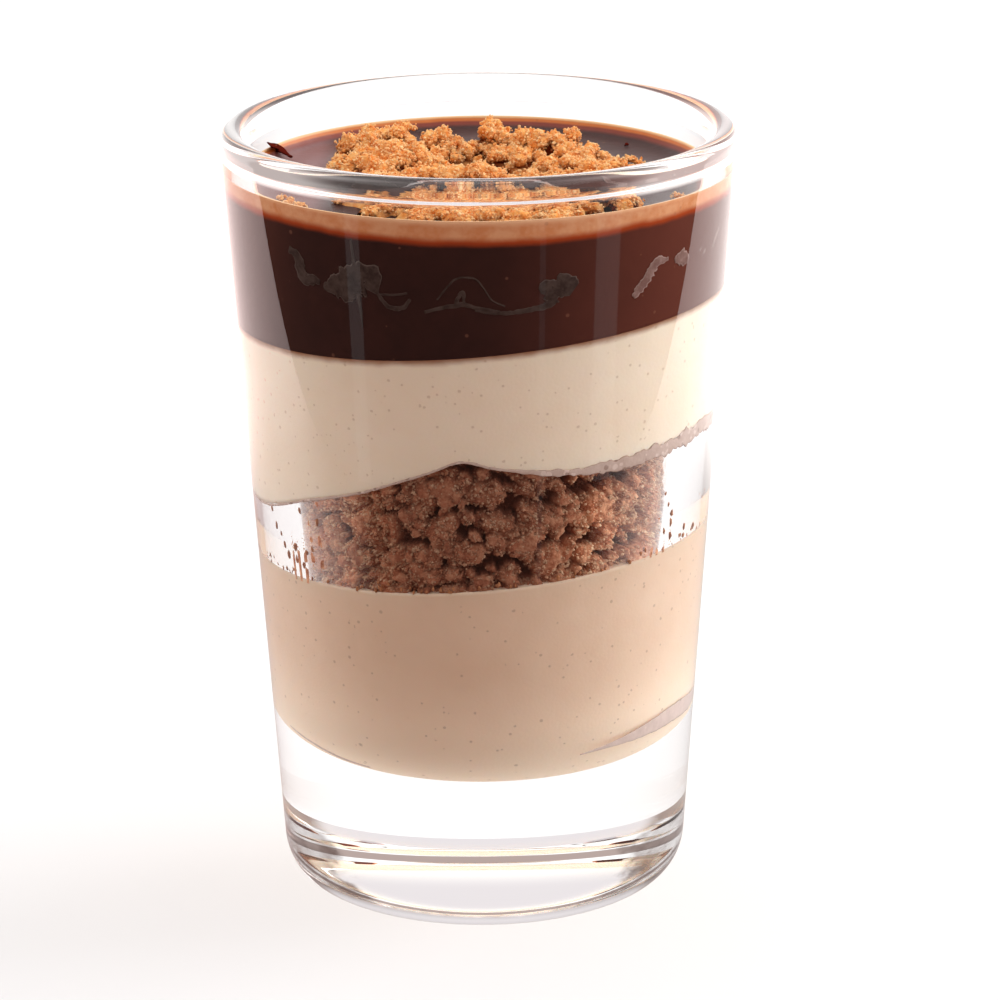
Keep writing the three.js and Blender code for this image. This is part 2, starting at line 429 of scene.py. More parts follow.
@dataclass(frozen=True)
class GlassFinish:
    """Clear pressed glass. Lamps and matt light go straight through to what it holds.

    Light that has been mirrored inside the wall many times leaves straight too,
    and is dimmer where it leaves at the foot. The foot is painted dark where it is
    seen at a slant, a painted reflection of the dim room that a thick base shows.
    Where light leaves the glass nearly straight on, none of it is mirrored back in.
    A painted white glare, which the glass gives off itself, runs round just under
    the rim, stronger at a slant. Pairs are the two ends of a span, of heights or
    of the Facing value.
    """

    name: str = "clear_glass"
    ior: float = 1.51
    most_mirrors: float = 2.5
    foot_mirrors: float = 1.5
    foot: tuple[float, float] = (8.5 * MM, 9.4 * MM)
    trapped: Colour = (0.33, 0.265, 0.245, 1.0)
    dim_room_shade: Colour = (0.10, 0.065, 0.055, 1.0)
    dim_room_shade_facing: tuple[float, float] = (0.34, 0.46)
    dim_room_shade_low: tuple[float, float] = (1.2 * MM, 2.6 * MM)
    dim_room_shade_density: float = 0.82
    streak_scale: float = 210.0
    streak_stretch: float = 2.6
    plain_facing: tuple[float, float] = (0.1, 0.18)
    glare_low: tuple[float, float] = (82.3 * MM, 82.8 * MM)
    glare_high: tuple[float, float] = (83.2 * MM, 83.6 * MM)
    glare_high_share: float = 0.64
    glare_end: tuple[float, float] = (84.8 * MM, 85.2 * MM)
    glare_facing: tuple[float, float] = (0.12, 0.32)
    glare_least: float = 0.1
    painted_glare: Colour = (0.72, 0.67, 0.65, 1.0)

    def build(self) -> bpy.types.Material:
        """Builds the material. Returns: the material."""
        material, graph = new_material(self.name)
        where, _, _, height = graph.place()
        facing = graph.add("ShaderNodeLayerWeight", {"Blend": 0.5}).outputs["Facing"]
        inside = graph.add("ShaderNodeNewGeometry").outputs["Backfacing"]
        outside = graph.minus(1.0, inside)
        in_foot = graph.span(height, *self.foot, 1.0, 0.0)
        stretch = {"Vector": where, "Scale": (1, 1, self.streak_stretch)}
        stretched = graph.add("ShaderNodeMapping", stretch).outputs[0]
        streak = graph.minus(graph.noise(stretched, self.streak_scale, 4.0, 0.6), 0.5)
        # Painted shade: the foot's colour is painted dark where it is seen at a slant, a painted reflection
        # of a dim room.
        dim_room_shade = graph.span(graph.plus(facing, graph.times(streak, 0.35)), *self.dim_room_shade_facing)
        density = graph.plus(self.dim_room_shade_density, graph.times(streak, 1.2), clamp=True)
        dim_room_shade = graph.times(dim_room_shade, in_foot, graph.span(height, *self.dim_room_shade_low), outside, density)
        # Painted highlight: the glare is a white glow that the glass gives off itself just under the rim.
        painted_glare = graph.times(
            graph.span(height, *self.glare_low),
            graph.span(height, *self.glare_high, 1.0, self.glare_high_share),
            graph.span(height, *self.glare_end, 1.0, 0.0),
            graph.span(facing, *self.glare_facing, self.glare_least, 1.0),
            outside,
        )
        body = graph.add(
            "ShaderNodeBsdfPrincipled",
            {
                "Base Color": graph.mix(dim_room_shade, (1, 1, 1, 1), self.dim_room_shade),
                "Roughness": 0.0,
                "IOR": self.ior,
                "Transmission Weight": 1.0,
                "Emission Color": graph.mix(painted_glare, (0, 0, 0, 1), self.painted_glare),
                "Emission Strength": 1.0,
            },
        )
        bend = graph.add("ShaderNodeBsdfRefraction", {"Roughness": 0.0, "IOR": self.ior})
        plain = graph.times(inside, graph.span(facing, *self.plain_facing, 1.0, 0.0))
        body = graph.blend(plain, body, bend)
        path = graph.add("ShaderNodeLightPath").outputs
        matt = graph.math("MAXIMUM", path["Is Shadow Ray"], path["Is Diffuse Ray"])
        limit = graph.span(height, *self.foot, self.foot_mirrors, self.most_mirrors)
        trapped = graph.math("GREATER_THAN", path["Glossy Depth"], limit)
        low = graph.times(in_foot, trapped, graph.minus(1.0, matt))
        tint = graph.mix(low, (1, 1, 1, 1), self.trapped)
        clear = graph.add("ShaderNodeBsdfTransparent", {"Color": tint})
        graph.end(graph.blend(graph.math("MAXIMUM", matt, trapped), body, clear))
        return material


@dataclass(frozen=True)
class CreamFinish:
    """Set cream against glass: matt, a little translucent, with fine pores and specks.

    It turns into the fade colour over a span of heights from a slanting level. The
    last number of the fade is how strong it gets.
    """

    name: str
    colour: Colour
    shade: Colour
    speck: Colour
    speck_size: float
    speck_share: float
    spot_share: float
    fade_slant: float
    fade: tuple[float, float, float]
    fade_colour: Colour
    fade_wave: float = 0.5 * MM
    pore_strength: float = 0.3
    spot_strength: float = 0.5
    glow: float = 0.25

    def build(self) -> bpy.types.Material:
        """Builds the material. Returns: the material."""
        material, graph = new_material(self.name)
        where, x, _, z = graph.place()
        colour = graph.mix(graph.effect(mottle, where, scale=110.0, contrast=0.8), self.colour, self.shade)
        wave = graph.times(graph.minus(graph.noise(where, 420.0, 3.0), 0.5), self.fade_wave)
        height = graph.plus(graph.plus(z, graph.times(x, -self.fade_slant)), wave)
        start, stop, most = self.fade
        colour = graph.mix(graph.span(height, start, stop, 0.0, most), colour, self.fade_colour)
        pores = graph.effect(speckle, where, scale=2300.0, size=0.5, share=self.speck_share)
        colour = graph.tinted(colour, pores, self.pore_strength, self.speck)
        spots = graph.effect(speckle, where, scale=420.0, size=self.speck_size, share=self.spot_share)
        inputs = {
            "Base Color": graph.tinted(colour, spots, self.spot_strength, self.speck),
            "Roughness": 0.55,
            "Specular IOR Level": 0.0,
            "Subsurface Weight": self.glow,
            "Subsurface Radius": (1.0, 0.55, 0.35),
            "Subsurface Scale": 0.003,
        }
        graph.matt(inputs, graph.effect(grain, where, scale=2600.0, rough=0.6), 0.12, 0.1 * MM)
        return material


class ChocolateFace(Enum):
    """Where a face of the chocolate looks: at the glass or up into the air."""

    GLASS = "chocolate_at_glass"
    TOP = "chocolate_top"


@dataclass(frozen=True)
class ChocolateFinish:
    """Dark chocolate cream, painted lighter at the sides, amber and then pale where it thins out up the
    glass: partly its own colour, partly painted light that shines through the thin film.

    The steps of the climb are given as start and length, in shares of the climb,
    and the colour reached.
    """

    level: float
    climb: float
    dark: Colour = rgb(49, 26, 24)
    warm: Colour = rgb(98, 51, 41)
    brown: Colour = rgb(166, 66, 30)
    plum: Colour = rgb(140, 66, 52)
    amber: Colour = rgb(224, 128, 66)
    pale: Colour = rgb(246, 200, 148)
    tan: Colour = rgb(216, 140, 94)
    cream: Colour = rgb(236, 182, 142)
    film: Colour = rgb(62, 35, 32)
    sheen_left: Colour = rgb(128, 84, 83)
    dust: Colour = rgb(150, 100, 80)
    lit_right_span: tuple[float, float] = (-2 * MM, 24 * MM)
    lit_left_span: tuple[float, float] = (17 * MM, 25 * MM)
    sheen_left_span: tuple[float, float] = (15 * MM, 18 * MM)
    drop_aside: tuple[float, float, float, float] = (6 * MM, 21 * MM, 0.12 * MM, 0.58 * MM)

    def build(self, face: ChocolateFace) -> bpy.types.Material:
        """Builds the material. Args: face, which side it is for. Returns: the material."""
        at_glass = face is ChocolateFace.GLASS
        material, graph = new_material(face.value)
        where, x, _, z = graph.place()
        # Painted light: the body is painted lighter and redder toward the right, and a little toward the
        # left, where more light falls on it; the warm colour is that painted lit side.
        leftward = graph.times(x, -1.0)
        lit_share = graph.math(
            "MAXIMUM", graph.span(x, *self.lit_right_span), graph.span(leftward, *self.lit_left_span, 0.0, 0.5)
        )
        cloud = graph.effect(mottle, where, scale=160.0, contrast=0.7)
        lit_share = graph.plus(lit_share, graph.times(cloud, 0.12), clamp=True)
        colour = graph.mix(lit_share, self.dark, self.warm)
        wave = graph.minus(graph.noise(where, 260.0, 2.0, 0.5), 0.5)
        height = graph.plus(z, graph.times(wave, (0.4 if at_glass else 0.12) * self.climb))
        if at_glass:
            aside = graph.math("ABSOLUTE", x)
            height = graph.minus(height, graph.span(aside, *self.drop_aside))
            streak = graph.effect(mottle, where, scale=420.0, contrast=1.2)
            tan = graph.tinted(self.tan, streak, 0.55, self.cream)
            steps = ((-1.2, 0.5, self.brown), (-0.8, 0.6, tan), (0.35, 0.5, self.cream))
        else:
            # Painted sheen: the top is painted paler toward the left, where it reflects more light.
            colour = graph.mix(graph.span(leftward, *self.sheen_left_span, 0.0, 0.9), self.film, self.sheen_left)
            steps = ((0.2, 0.3, self.plum), (0.54, 0.2, self.amber), (0.78, 0.2, self.pale))
        # Partly painted light: the paler steps up the film stand for light shining through it, as well as its
        # own lighter colour.
        for share, rise, tone in steps:
            low = self.level + share * self.climb
            colour = graph.mix(graph.span(height, low, low + rise * self.climb), colour, tone)
        dust = graph.effect(speckle, where, scale=1500.0, size=0.4, share=0.05)
        inputs = {
            "Base Color": graph.tinted(colour, dust, 0.25, self.dust),
            "Roughness": graph.span(graph.noise(where, 90.0, 2.0, 0.5), 0.3, 0.7, 0.32, 0.55),
            "Specular IOR Level": 0.0 if at_glass else 0.27,
        }
        graph.matt(inputs, graph.noise(where, 320.0, 3.0, 0.55), 0.25, 0.5 * MM)
        return material


@dataclass(frozen=True)
class CrumbFinish:
    """Cake crumb: granular, each grain a little lighter or darker, with painted shade in the pits and gaps
    and, as shade and damp, in the middle.
    """

    name: str
    colour: Colour
    light: Colour
    dark: Colour
    pit: Colour
    specular: float = 0.05
    damp_shade: float = 0.0
    sugar: float = 0.12
    damp_shade_middle: float = -1 * MM
    damp_shade_wander: float = 14 * MM
    damp_shade_half: tuple[float, float] = (6 * MM, 15 * MM)

    def build(self) -> bpy.types.Material:
        """Builds the material. Returns: the material."""
        material, graph = new_material(self.name)
        where, x, _, _ = graph.place()
        colour = graph.mix(graph.effect(mottle, where, scale=300.0, contrast=1.1), self.dark, self.colour)
        fleck = graph.effect(mottle, where, scale=1100.0, contrast=1.4)
        colour = graph.tinted(colour, fleck, 0.7, self.light)
        bright = graph.effect(speckle, where, scale=1900.0, size=0.6, share=self.sugar)
        colour = graph.tinted(colour, bright, 0.6, self.light)
        colour = graph.mix(graph.attribute("tone"), colour, self.light)
        # Painted shade and damp: the middle is darkened toward the pit colour, where less light falls and the
        # crumbs lie damp against the glass.
        off = graph.math("ABSOLUTE", graph.plus(x, -self.damp_shade_middle))
        wander = graph.times(graph.minus(graph.noise(where, 150.0, 2.0), 0.5), self.damp_shade_wander)
        damp_shade = graph.span(graph.plus(off, wander), *self.damp_shade_half, self.damp_shade, 0.0)
        colour = graph.mix(damp_shade, colour, self.pit)
        inputs = {
            # Painted shade: the pit colour darkens the crumbs by their stored depth, in the gaps and
            # crevices.
            "Base Color": graph.mix(graph.span(graph.attribute("depth"), 0.15, 0.85), colour, self.pit),
            "Roughness": 0.62,
            "Specular IOR Level": self.specular,
        }
        graph.matt(inputs, graph.effect(grain, where, scale=2200.0, rough=0.7), 0.7, 0.15 * MM)
        return material


@dataclass(frozen=True)
class FilmFinish:
    """A thin film against the glass: one colour in the middle, another at its ragged sides."""

    name: str
    middle: Colour
    side: Colour
    side_start: float = 0.75
    bubbles: float = 0.0
    drop: Colour = rgb(228, 210, 202)
    pit: Colour = rgb(120, 84, 70)

    def build(self) -> bpy.types.Material:
        """Builds the material. Returns: the material."""
        material, graph = new_material(self.name)
        where = graph.place()[0]
        colour = graph.mix(graph.span(graph.attribute("edge"), self.side_start, 1.0), self.middle, self.side)
        patch = graph.effect(mottle, where, scale=700.0, contrast=1.2)
        colour = graph.tinted(colour, patch, 0.4, self.side)
        drops = graph.effect(speckle, where, scale=1700.0, size=0.7, share=self.bubbles)
        colour = graph.tinted(colour, drops, 0.6, self.drop)
        pits = graph.effect(speckle, where, scale=1300.0, size=0.6, share=self.bubbles)
        inputs = {
            "Base Color": graph.tinted(colour, pits, 0.5, self.pit),
            "Roughness": 0.5,
            "Specular IOR Level": 0.0,
        }
        graph.matt(inputs, graph.effect(grain, where, scale=2400.0, rough=0.6), 0.2, 0.1 * MM)
        return material


# -------------------------------------------------------------------- the glass


@dataclass
class Glass:
    """The pressed glass, from the size of its solid."""

    height: float
    rim_radius: float
    rim_round: float = 1.35 * MM
    heel_radius: float = 22.5 * MM
    heel_round: float = 5.0 * MM
    heel_width: float = 4.0 * MM
    bead: float = 0.33 * MM
    bead_low: float = 82.42 * MM
    bead_peak: float = 82.88 * MM
    bead_high: float = 84.05 * MM
    bowl_floor: float = 15.7 * MM
    bowl_corner: float = 8.0 * MM
    bore_at_zero: float = 15.4 * MM
    bore_taper: float = 0.1184
    bore_span: tuple[float, float] = (82 * MM, 24.5 * MM)
    segments: int = 256

    @property
    def bore_lean(self) -> float:
        """Angle of the inside wall from upright. Returns: radians."""
        return math.atan(self.bore_taper)

    @property
    def wall_lean(self) -> float:
        """Angle of the outside wall from upright. Returns: radians."""
        rise = self.height - self.rim_round - self.heel_round
        return math.atan2(self.rim_radius - self.heel_radius, rise)

    def bore(self, height: Array) -> Array:
        """Radius of the inside wall at a height. Args: height. Returns: radius."""
        return self.bore_at_zero + self.bore_taper * height

    def on_bore(self, bearing: Array, height: Array, depth: Array) -> Array:
        """Points at a depth behind the inside wall. Args: bearing, height, depth. Returns: points."""
        return polar(self.bore(height) - depth, bearing, height)

    def corner(self, reach: float = 0.0, steps: int = 24) -> Array:
        """The rounded corner of the bowl, from its floor to its wall.

        Args:
            reach: How far outside the glass's own corner the arc lies.
            steps: Number of points.

        Returns:
            Points, shape (steps, 2).
        """
        level = self.bowl_floor + self.bowl_corner
        centre = (float(self.bore(level)) - self.bowl_corner / math.cos(self.bore_lean), level)
        return arc(centre, self.bowl_corner + reach, -math.pi / 2, -self.bore_lean, steps)

    def profile(self) -> Array:
        """The outline from the centre of the base, round the rim, to the bowl's floor.

        A straight base, a quarter of an oval at the heel, a straight wall, a half circle at the
        rim, a straight bore with a bead under the rim and an arc into the floor.

        Returns:
            Points, shape (n, 2), without the two on the axis.
        """
        heel_centre = self.heel_radius - self.heel_width
        base = np.stack([np.linspace(0.1, 0.97, 10) * heel_centre, np.zeros(10)], -1)
        last = math.atan(math.tan(self.wall_lean) * self.heel_round / self.heel_width)
        heel = arc((0, 1), 1, -math.pi / 2, -last, 28) * (self.heel_width, self.heel_round) + (heel_centre, 0)
        rim_centre = (self.rim_radius - self.rim_round, self.height - self.rim_round)
        rim = arc(rim_centre, self.rim_round, -self.wall_lean, math.pi - self.bore_lean, 36)
        corner = self.corner()[::-1]
        wall = heel[-1] + np.linspace(0, 1, 26)[1:-1, None] * (rim[0] - heel[-1])
        beaded = np.linspace(self.bead_high, self.bead_low, 22)
        level = np.concatenate([beaded, np.linspace(*self.bore_span, 24)])
        up, down = ramp(level, self.bead_low, self.bead_peak), ramp(level, self.bead_high, self.bead_peak)
        bore = np.stack([self.bore(level) - self.bead * ease(up) * ease(down), level], -1)
        floor = np.stack([np.linspace(0.97, 0.1, 8) * corner[-1, 0], np.full(8, self.bowl_floor)], -1)
        return np.concatenate([base, heel, wall, rim, bore, corner, floor])

    def build(self, finish: GlassFinish) -> bpy.types.Object:
        """Makes the glass. Args: its finish. Returns: the object."""
        profile = self.profile()
        grid = polar(profile[:, :1], full_turn(self.segments), profile[:, 1:])
        piece = new_object("clear_glass", *closed_mesh(grid, (0, 0, 0), (0, 0, self.bowl_floor)))
        piece.data.materials.append(finish.build())
        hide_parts("glass")
        return piece


# --------------------------------------------------------------------- contents


@dataclass
class Levels:
    """The surfaces between the layers, as heights over a place (x, y)."""

    coffee_top: float = 39.4 * MM
    coffee_slant: float = 0.084
    crumb_top: float = 50.3 * MM
    crumb_slant: float = 0.17
    hump_height: float = 3.35 * MM
    hump_place: tuple[float, float] = (-3.0 * MM, -20.0 * MM)
    hump_width: float = 9.6 * MM
    peak_height: float = 0.8 * MM
    peak_place: float = -2.0 * MM
    peak_width: float = 2.3 * MM
    hump_depth: float = 22.0 * MM
    dip_depth: float = 2.5 * MM
    dip_place: tuple[float, float] = (-21.5 * MM, -1.0 * MM)
    dip_width: float = 4.2 * MM
    dip_length: float = 13.0 * MM
    chocolate_bottom: float = 65.95 * MM
    chocolate_slant: float = 0.089
    chocolate_top: float = 79.4 * MM
    meniscus_climb: float = 1.4 * MM
    meniscus_reach: float = 0.6 * MM

    def coffee(self, x: Array, y: Array) -> Array:
        """Top of the coffee cream: level + slant x. Args: x, y. Returns: heights."""
        return self.coffee_top + self.coffee_slant * x + 0 * y

    def crumbs(self, x: Array, y: Array) -> Array:
        """Top of the crumbs: level + slant x + a bell-shaped hump with a narrow peak - a dip at the left.

        A bell is exp(-(distance / width)^2).

        Args:
            x: Places across.
            y: Places from front to back.

        Returns:
            Heights.
        """
        hump = self.hump_height * np.exp(-(((x - self.hump_place[0]) / self.hump_width) ** 2))
        hump = hump + self.peak_height * np.exp(-(((x - self.peak_place) / self.peak_width) ** 2))
        hump = hump * np.exp(-(((y - self.hump_place[1]) / self.hump_depth) ** 2))
        across = (x - self.dip_place[0]) / self.dip_width
        along = (y - self.dip_place[1]) / self.dip_length
        dip = self.dip_depth * np.exp(-(across**2) - along**2)
        return self.crumb_top + self.crumb_slant * x + hump - dip

    def chocolate_floor(self, x: Array, y: Array) -> Array:
        """Bottom of the chocolate: level + slant x. Args: x, y. Returns: heights."""
        return self.chocolate_bottom + self.chocolate_slant * x + 0 * y


@dataclass
class ChocolateTop:
    """The chocolate's surface: nearly flat, and climbing the glass at its edge."""

    glass: Glass
    levels: Levels

    def __call__(self, x: Array, y: Array) -> Array:
        """Height: level + climb exp(-distance to the wall / reach). Args: x, y. Returns: heights."""
        wall = float(self.glass.bore(self.levels.chocolate_top))
        away = np.maximum(wall - np.hypot(x, y), 0)
        climb = self.levels.meniscus_climb * np.exp(-away / self.levels.meniscus_reach)
        return self.levels.chocolate_top + climb


@dataclass
class Layer:
    """A cream between two surfaces, reaching a little into the glass wall."""

    name: str
    glass: Glass
    bottom: Surface | None
    top: Surface
    reach: float = 0.03 * MM
    segments: int = 224
    rings: int = 30
    wall_steps: int = 40

    def sheet(self, surface: Surface) -> Array:
        """A surface from near the axis to the wall: (r cos t, r sin t, h(x, y)).

        The radius of its edge is found by repeated substitution, r = bore(h(r)) + reach.

        Args:
            surface: The surface.

        Returns:
            Grid, shape (rings, segments, 3).
        """
        bearing = full_turn(self.segments)
        edge = np.full_like(bearing, float(self.glass.bore(surface(np.zeros(1), np.zeros(1))[0])))
        for _ in range(8):
            height = surface(edge * np.cos(bearing), edge * np.sin(bearing))
            edge = self.glass.bore(height) + self.reach
        radius = np.sin(np.linspace(0, math.pi / 2, self.rings + 1))[1:, None] * edge
        x, y = radius * np.cos(bearing), radius * np.sin(bearing)
        return np.stack([x, y, surface(x, y)], -1)

    def wall(self, low: Array, high: Array) -> Array:
        """The side between two edges, at the bore's radius plus the reach.

        Args:
            low: Lower edge points, shape (segments, 3).
            high: Upper edge points, shape (segments, 3).

        Returns:
            Grid, shape (wall_steps, segments, 3).
        """
        share = np.linspace(0, 1, self.wall_steps + 2)[1:-1, None]
        height = low[:, 2] + share * (high[:, 2] - low[:, 2])
        return self.glass.on_bore(full_turn(self.segments), height, -self.reach)

    def build(self, *materials: bpy.types.Material) -> bpy.types.Object:
        """Makes the layer, which stands for the node of its own name.

        Args:
            materials: One for the whole piece, or one at the glass and one on top.

        Returns:
            The object.
        """
        zero = np.zeros(1)
        if self.bottom is None:
            corner = self.glass.corner(self.reach)
            floor = np.stack([np.linspace(0.05, 0.97, 10) * corner[0, 0], np.full(10, corner[0, 1])], -1)
            profile = np.concatenate([floor, corner])
            under = polar(profile[:, :1], full_turn(self.segments), profile[:, 1:])
            low = (0, 0, corner[0, 1])
        else:
            under = self.sheet(self.bottom)
            low = (0, 0, self.bottom(zero, zero)[0])
        over = self.sheet(self.top)[::-1]
        grid = np.concatenate([under, self.wall(under[-1], over[0]), over])
        piece = new_object(self.name, *closed_mesh(grid, low, (0, 0, self.top(zero, zero)[0])))
        for material in materials:
            piece.data.materials.append(material)
        if len(materials) > 1:
            corners = np.zeros(len(piece.data.polygons) * 3, dtype=np.int32)
            piece.data.polygons.foreach_get("vertices", corners)
            top_start = 1 + (len(grid) - self.rings) * self.segments
            on_top = (corners.reshape(-1, 3) >= top_start).all(-1)
            piece.data.polygons.foreach_set("material_index", on_top.astype(np.int32))
        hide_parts(self.name)
        return piece


# ----------------------------------------------------------------------- crumbs


def outward(corners: Array, faces: Array) -> Array:
    """Turns round the faces that run clockwise from outside. Args: corners, faces. Returns: faces."""
    a, b, c = (corners[faces[:, n]] for n in range(3))
    inward = (np.cross(b - a, c - a) * (a + b + c)).sum(-1) < 0
    faces[inward] = faces[inward][:, ::-1]
    return faces


def icosahedron() -> Mesh:
    """The 12 corners and 20 faces of a unit icosahedron: cyclic turns of (0, 1, golden ratio).

    Returns:
        Corners, shape (12, 3), and faces, shape (20, 3).
    """
    golden = (1 + math.sqrt(5)) / 2
    flat = [(0, a, b * golden) for a in (-1, 1) for b in (-1, 1)]
    corners = np.array([np.roll(corner, turn) for turn in range(3) for corner in flat], dtype=float)
    near = np.linalg.norm(corners[:, None] - corners[None], axis=-1) < 2.1
    found = [
        (i, j, k)
        for i in range(12)
        for j in range(i + 1, 12)
        for k in range(j + 1, 12)
        if near[i, j] and near[j, k] and near[i, k]
    ]
    return corners / np.linalg.norm(corners[0]), outward(corners, np.array(found))


def octahedron() -> Mesh:
    """The 6 corners and 8 faces of a unit octahedron: +1 and -1 along each axis.

    Returns:
        Corners, shape (6, 3), and faces, shape (8, 3).
    """
    corners = np.concatenate([np.eye(3), -np.eye(3)])
    faces = np.array([(x, y + 1, z + 2) for x in (0, 3) for y in (0, 3) for z in (0, 3)])
    return corners, outward(corners, faces)


def random_turns(count: int, draw: np.random.Generator) -> Array:
    """Even random turns, from unit quaternions (w, x, y, z) written out as matrices.

    Args:
        count: Number of turns.
        draw: Source of random numbers.

    Returns:
        Matrices, shape (count, 3, 3).
    """
    q = draw.normal(size=(count, 4))
    w, x, y, z = (q / np.linalg.norm(q, axis=1, keepdims=True)).T
    rows = [
        [1 - 2 * (y * y + z * z), 2 * (x * y - z * w), 2 * (x * z + y * w)],
        [2 * (x * y + z * w), 1 - 2 * (x * x + z * z), 2 * (y * z - x * w)],
        [2 * (x * z - y * w), 2 * (y * z + x * w), 1 - 2 * (x * x + y * y)],
    ]
    return np.moveaxis(np.array(rows), -1, 0)


def grain_mesh(places: Array, radii: Array, draw: np.random.Generator, shape: Mesh) -> Mesh:
    """Angular grains: place + radius x turned solid, its corners pulled in or out.

    Args:
        places: Centres, shape (n, 3).
        radii: Radii, shape (n,).
        draw: Source of random numbers.
        shape: Corners and faces of the solid.

    Returns:
        Points, as many for each grain as the solid has corners, and triangles.
    """
    corners, faces = shape
    count, size = len(places), len(corners)
    uneven = corners * draw.uniform(0.7, 1.3, (count, size, 1)) * draw.uniform(0.75, 1.3, (count, 1, 3))
    turned = np.einsum("nij,nkj->nki", random_turns(count, draw), uneven)
    points = places[:, None] + radii[:, None, None] * turned
    return points.reshape(-1, 3), repeated(faces, size, count)


def lump_radius(places: Array, radii: Array, ways: Array, seed: int) -> Array:
    """Distance from a lump's centre to its skin: radius x (1 + broad noise + fine bumps).

    The bumps are the size of a noise without its sign, so they are round with
    sharp creases between them.

    Args:
        places: Lump centres, shape (n, 1, 3) or (n, 3).
        radii: Lump radii, of a shape that fits.
        ways: Unit directions, shape (n, k, 3) or (n, 3).
        seed: Picks the noise.

    Returns:
        Distances, of the shape of the directions less the last axis.
    """
    skin = places + radii[..., None] * ways
    broad = layered_noise(skin, 1.5 * MM, 2, seed)
    bumps = np.abs(lattice_noise(skin / (0.7 * MM), seed + 7))
    return radii * (0.88 + 0.36 * broad + 0.42 * bumps)


def lump_mesh(places: Array, radii: Array, rings: int, segments: int, seed: int) -> Mesh:
    """Closed uneven lumps: centre + distance(direction) x direction, on a grid of directions.

    A direction is (sin a cos b, sin a sin b, cos a), with a from the lower pole to
    the upper one and b once round.

    Args:
        places: Centres, shape (n, 3).
        radii: Radii, shape (n,).
        rings: Rings between the poles.
        segments: Points in a ring.
        seed: Picks the noise.

    Returns:
        Points and triangles.
    """
    tip = np.linspace(math.pi, 0, rings + 2)[1:-1, None]
    ways, faces = closed_mesh(polar(np.sin(tip), full_turn(segments), np.cos(tip)), (0, 0, -1), (0, 0, 1))
    reach = lump_radius(places[:, None], radii[:, None], ways[None], seed)
    points = places[:, None] + reach[..., None] * ways
    return points.reshape(-1, 3), repeated(faces, len(ways), len(places))


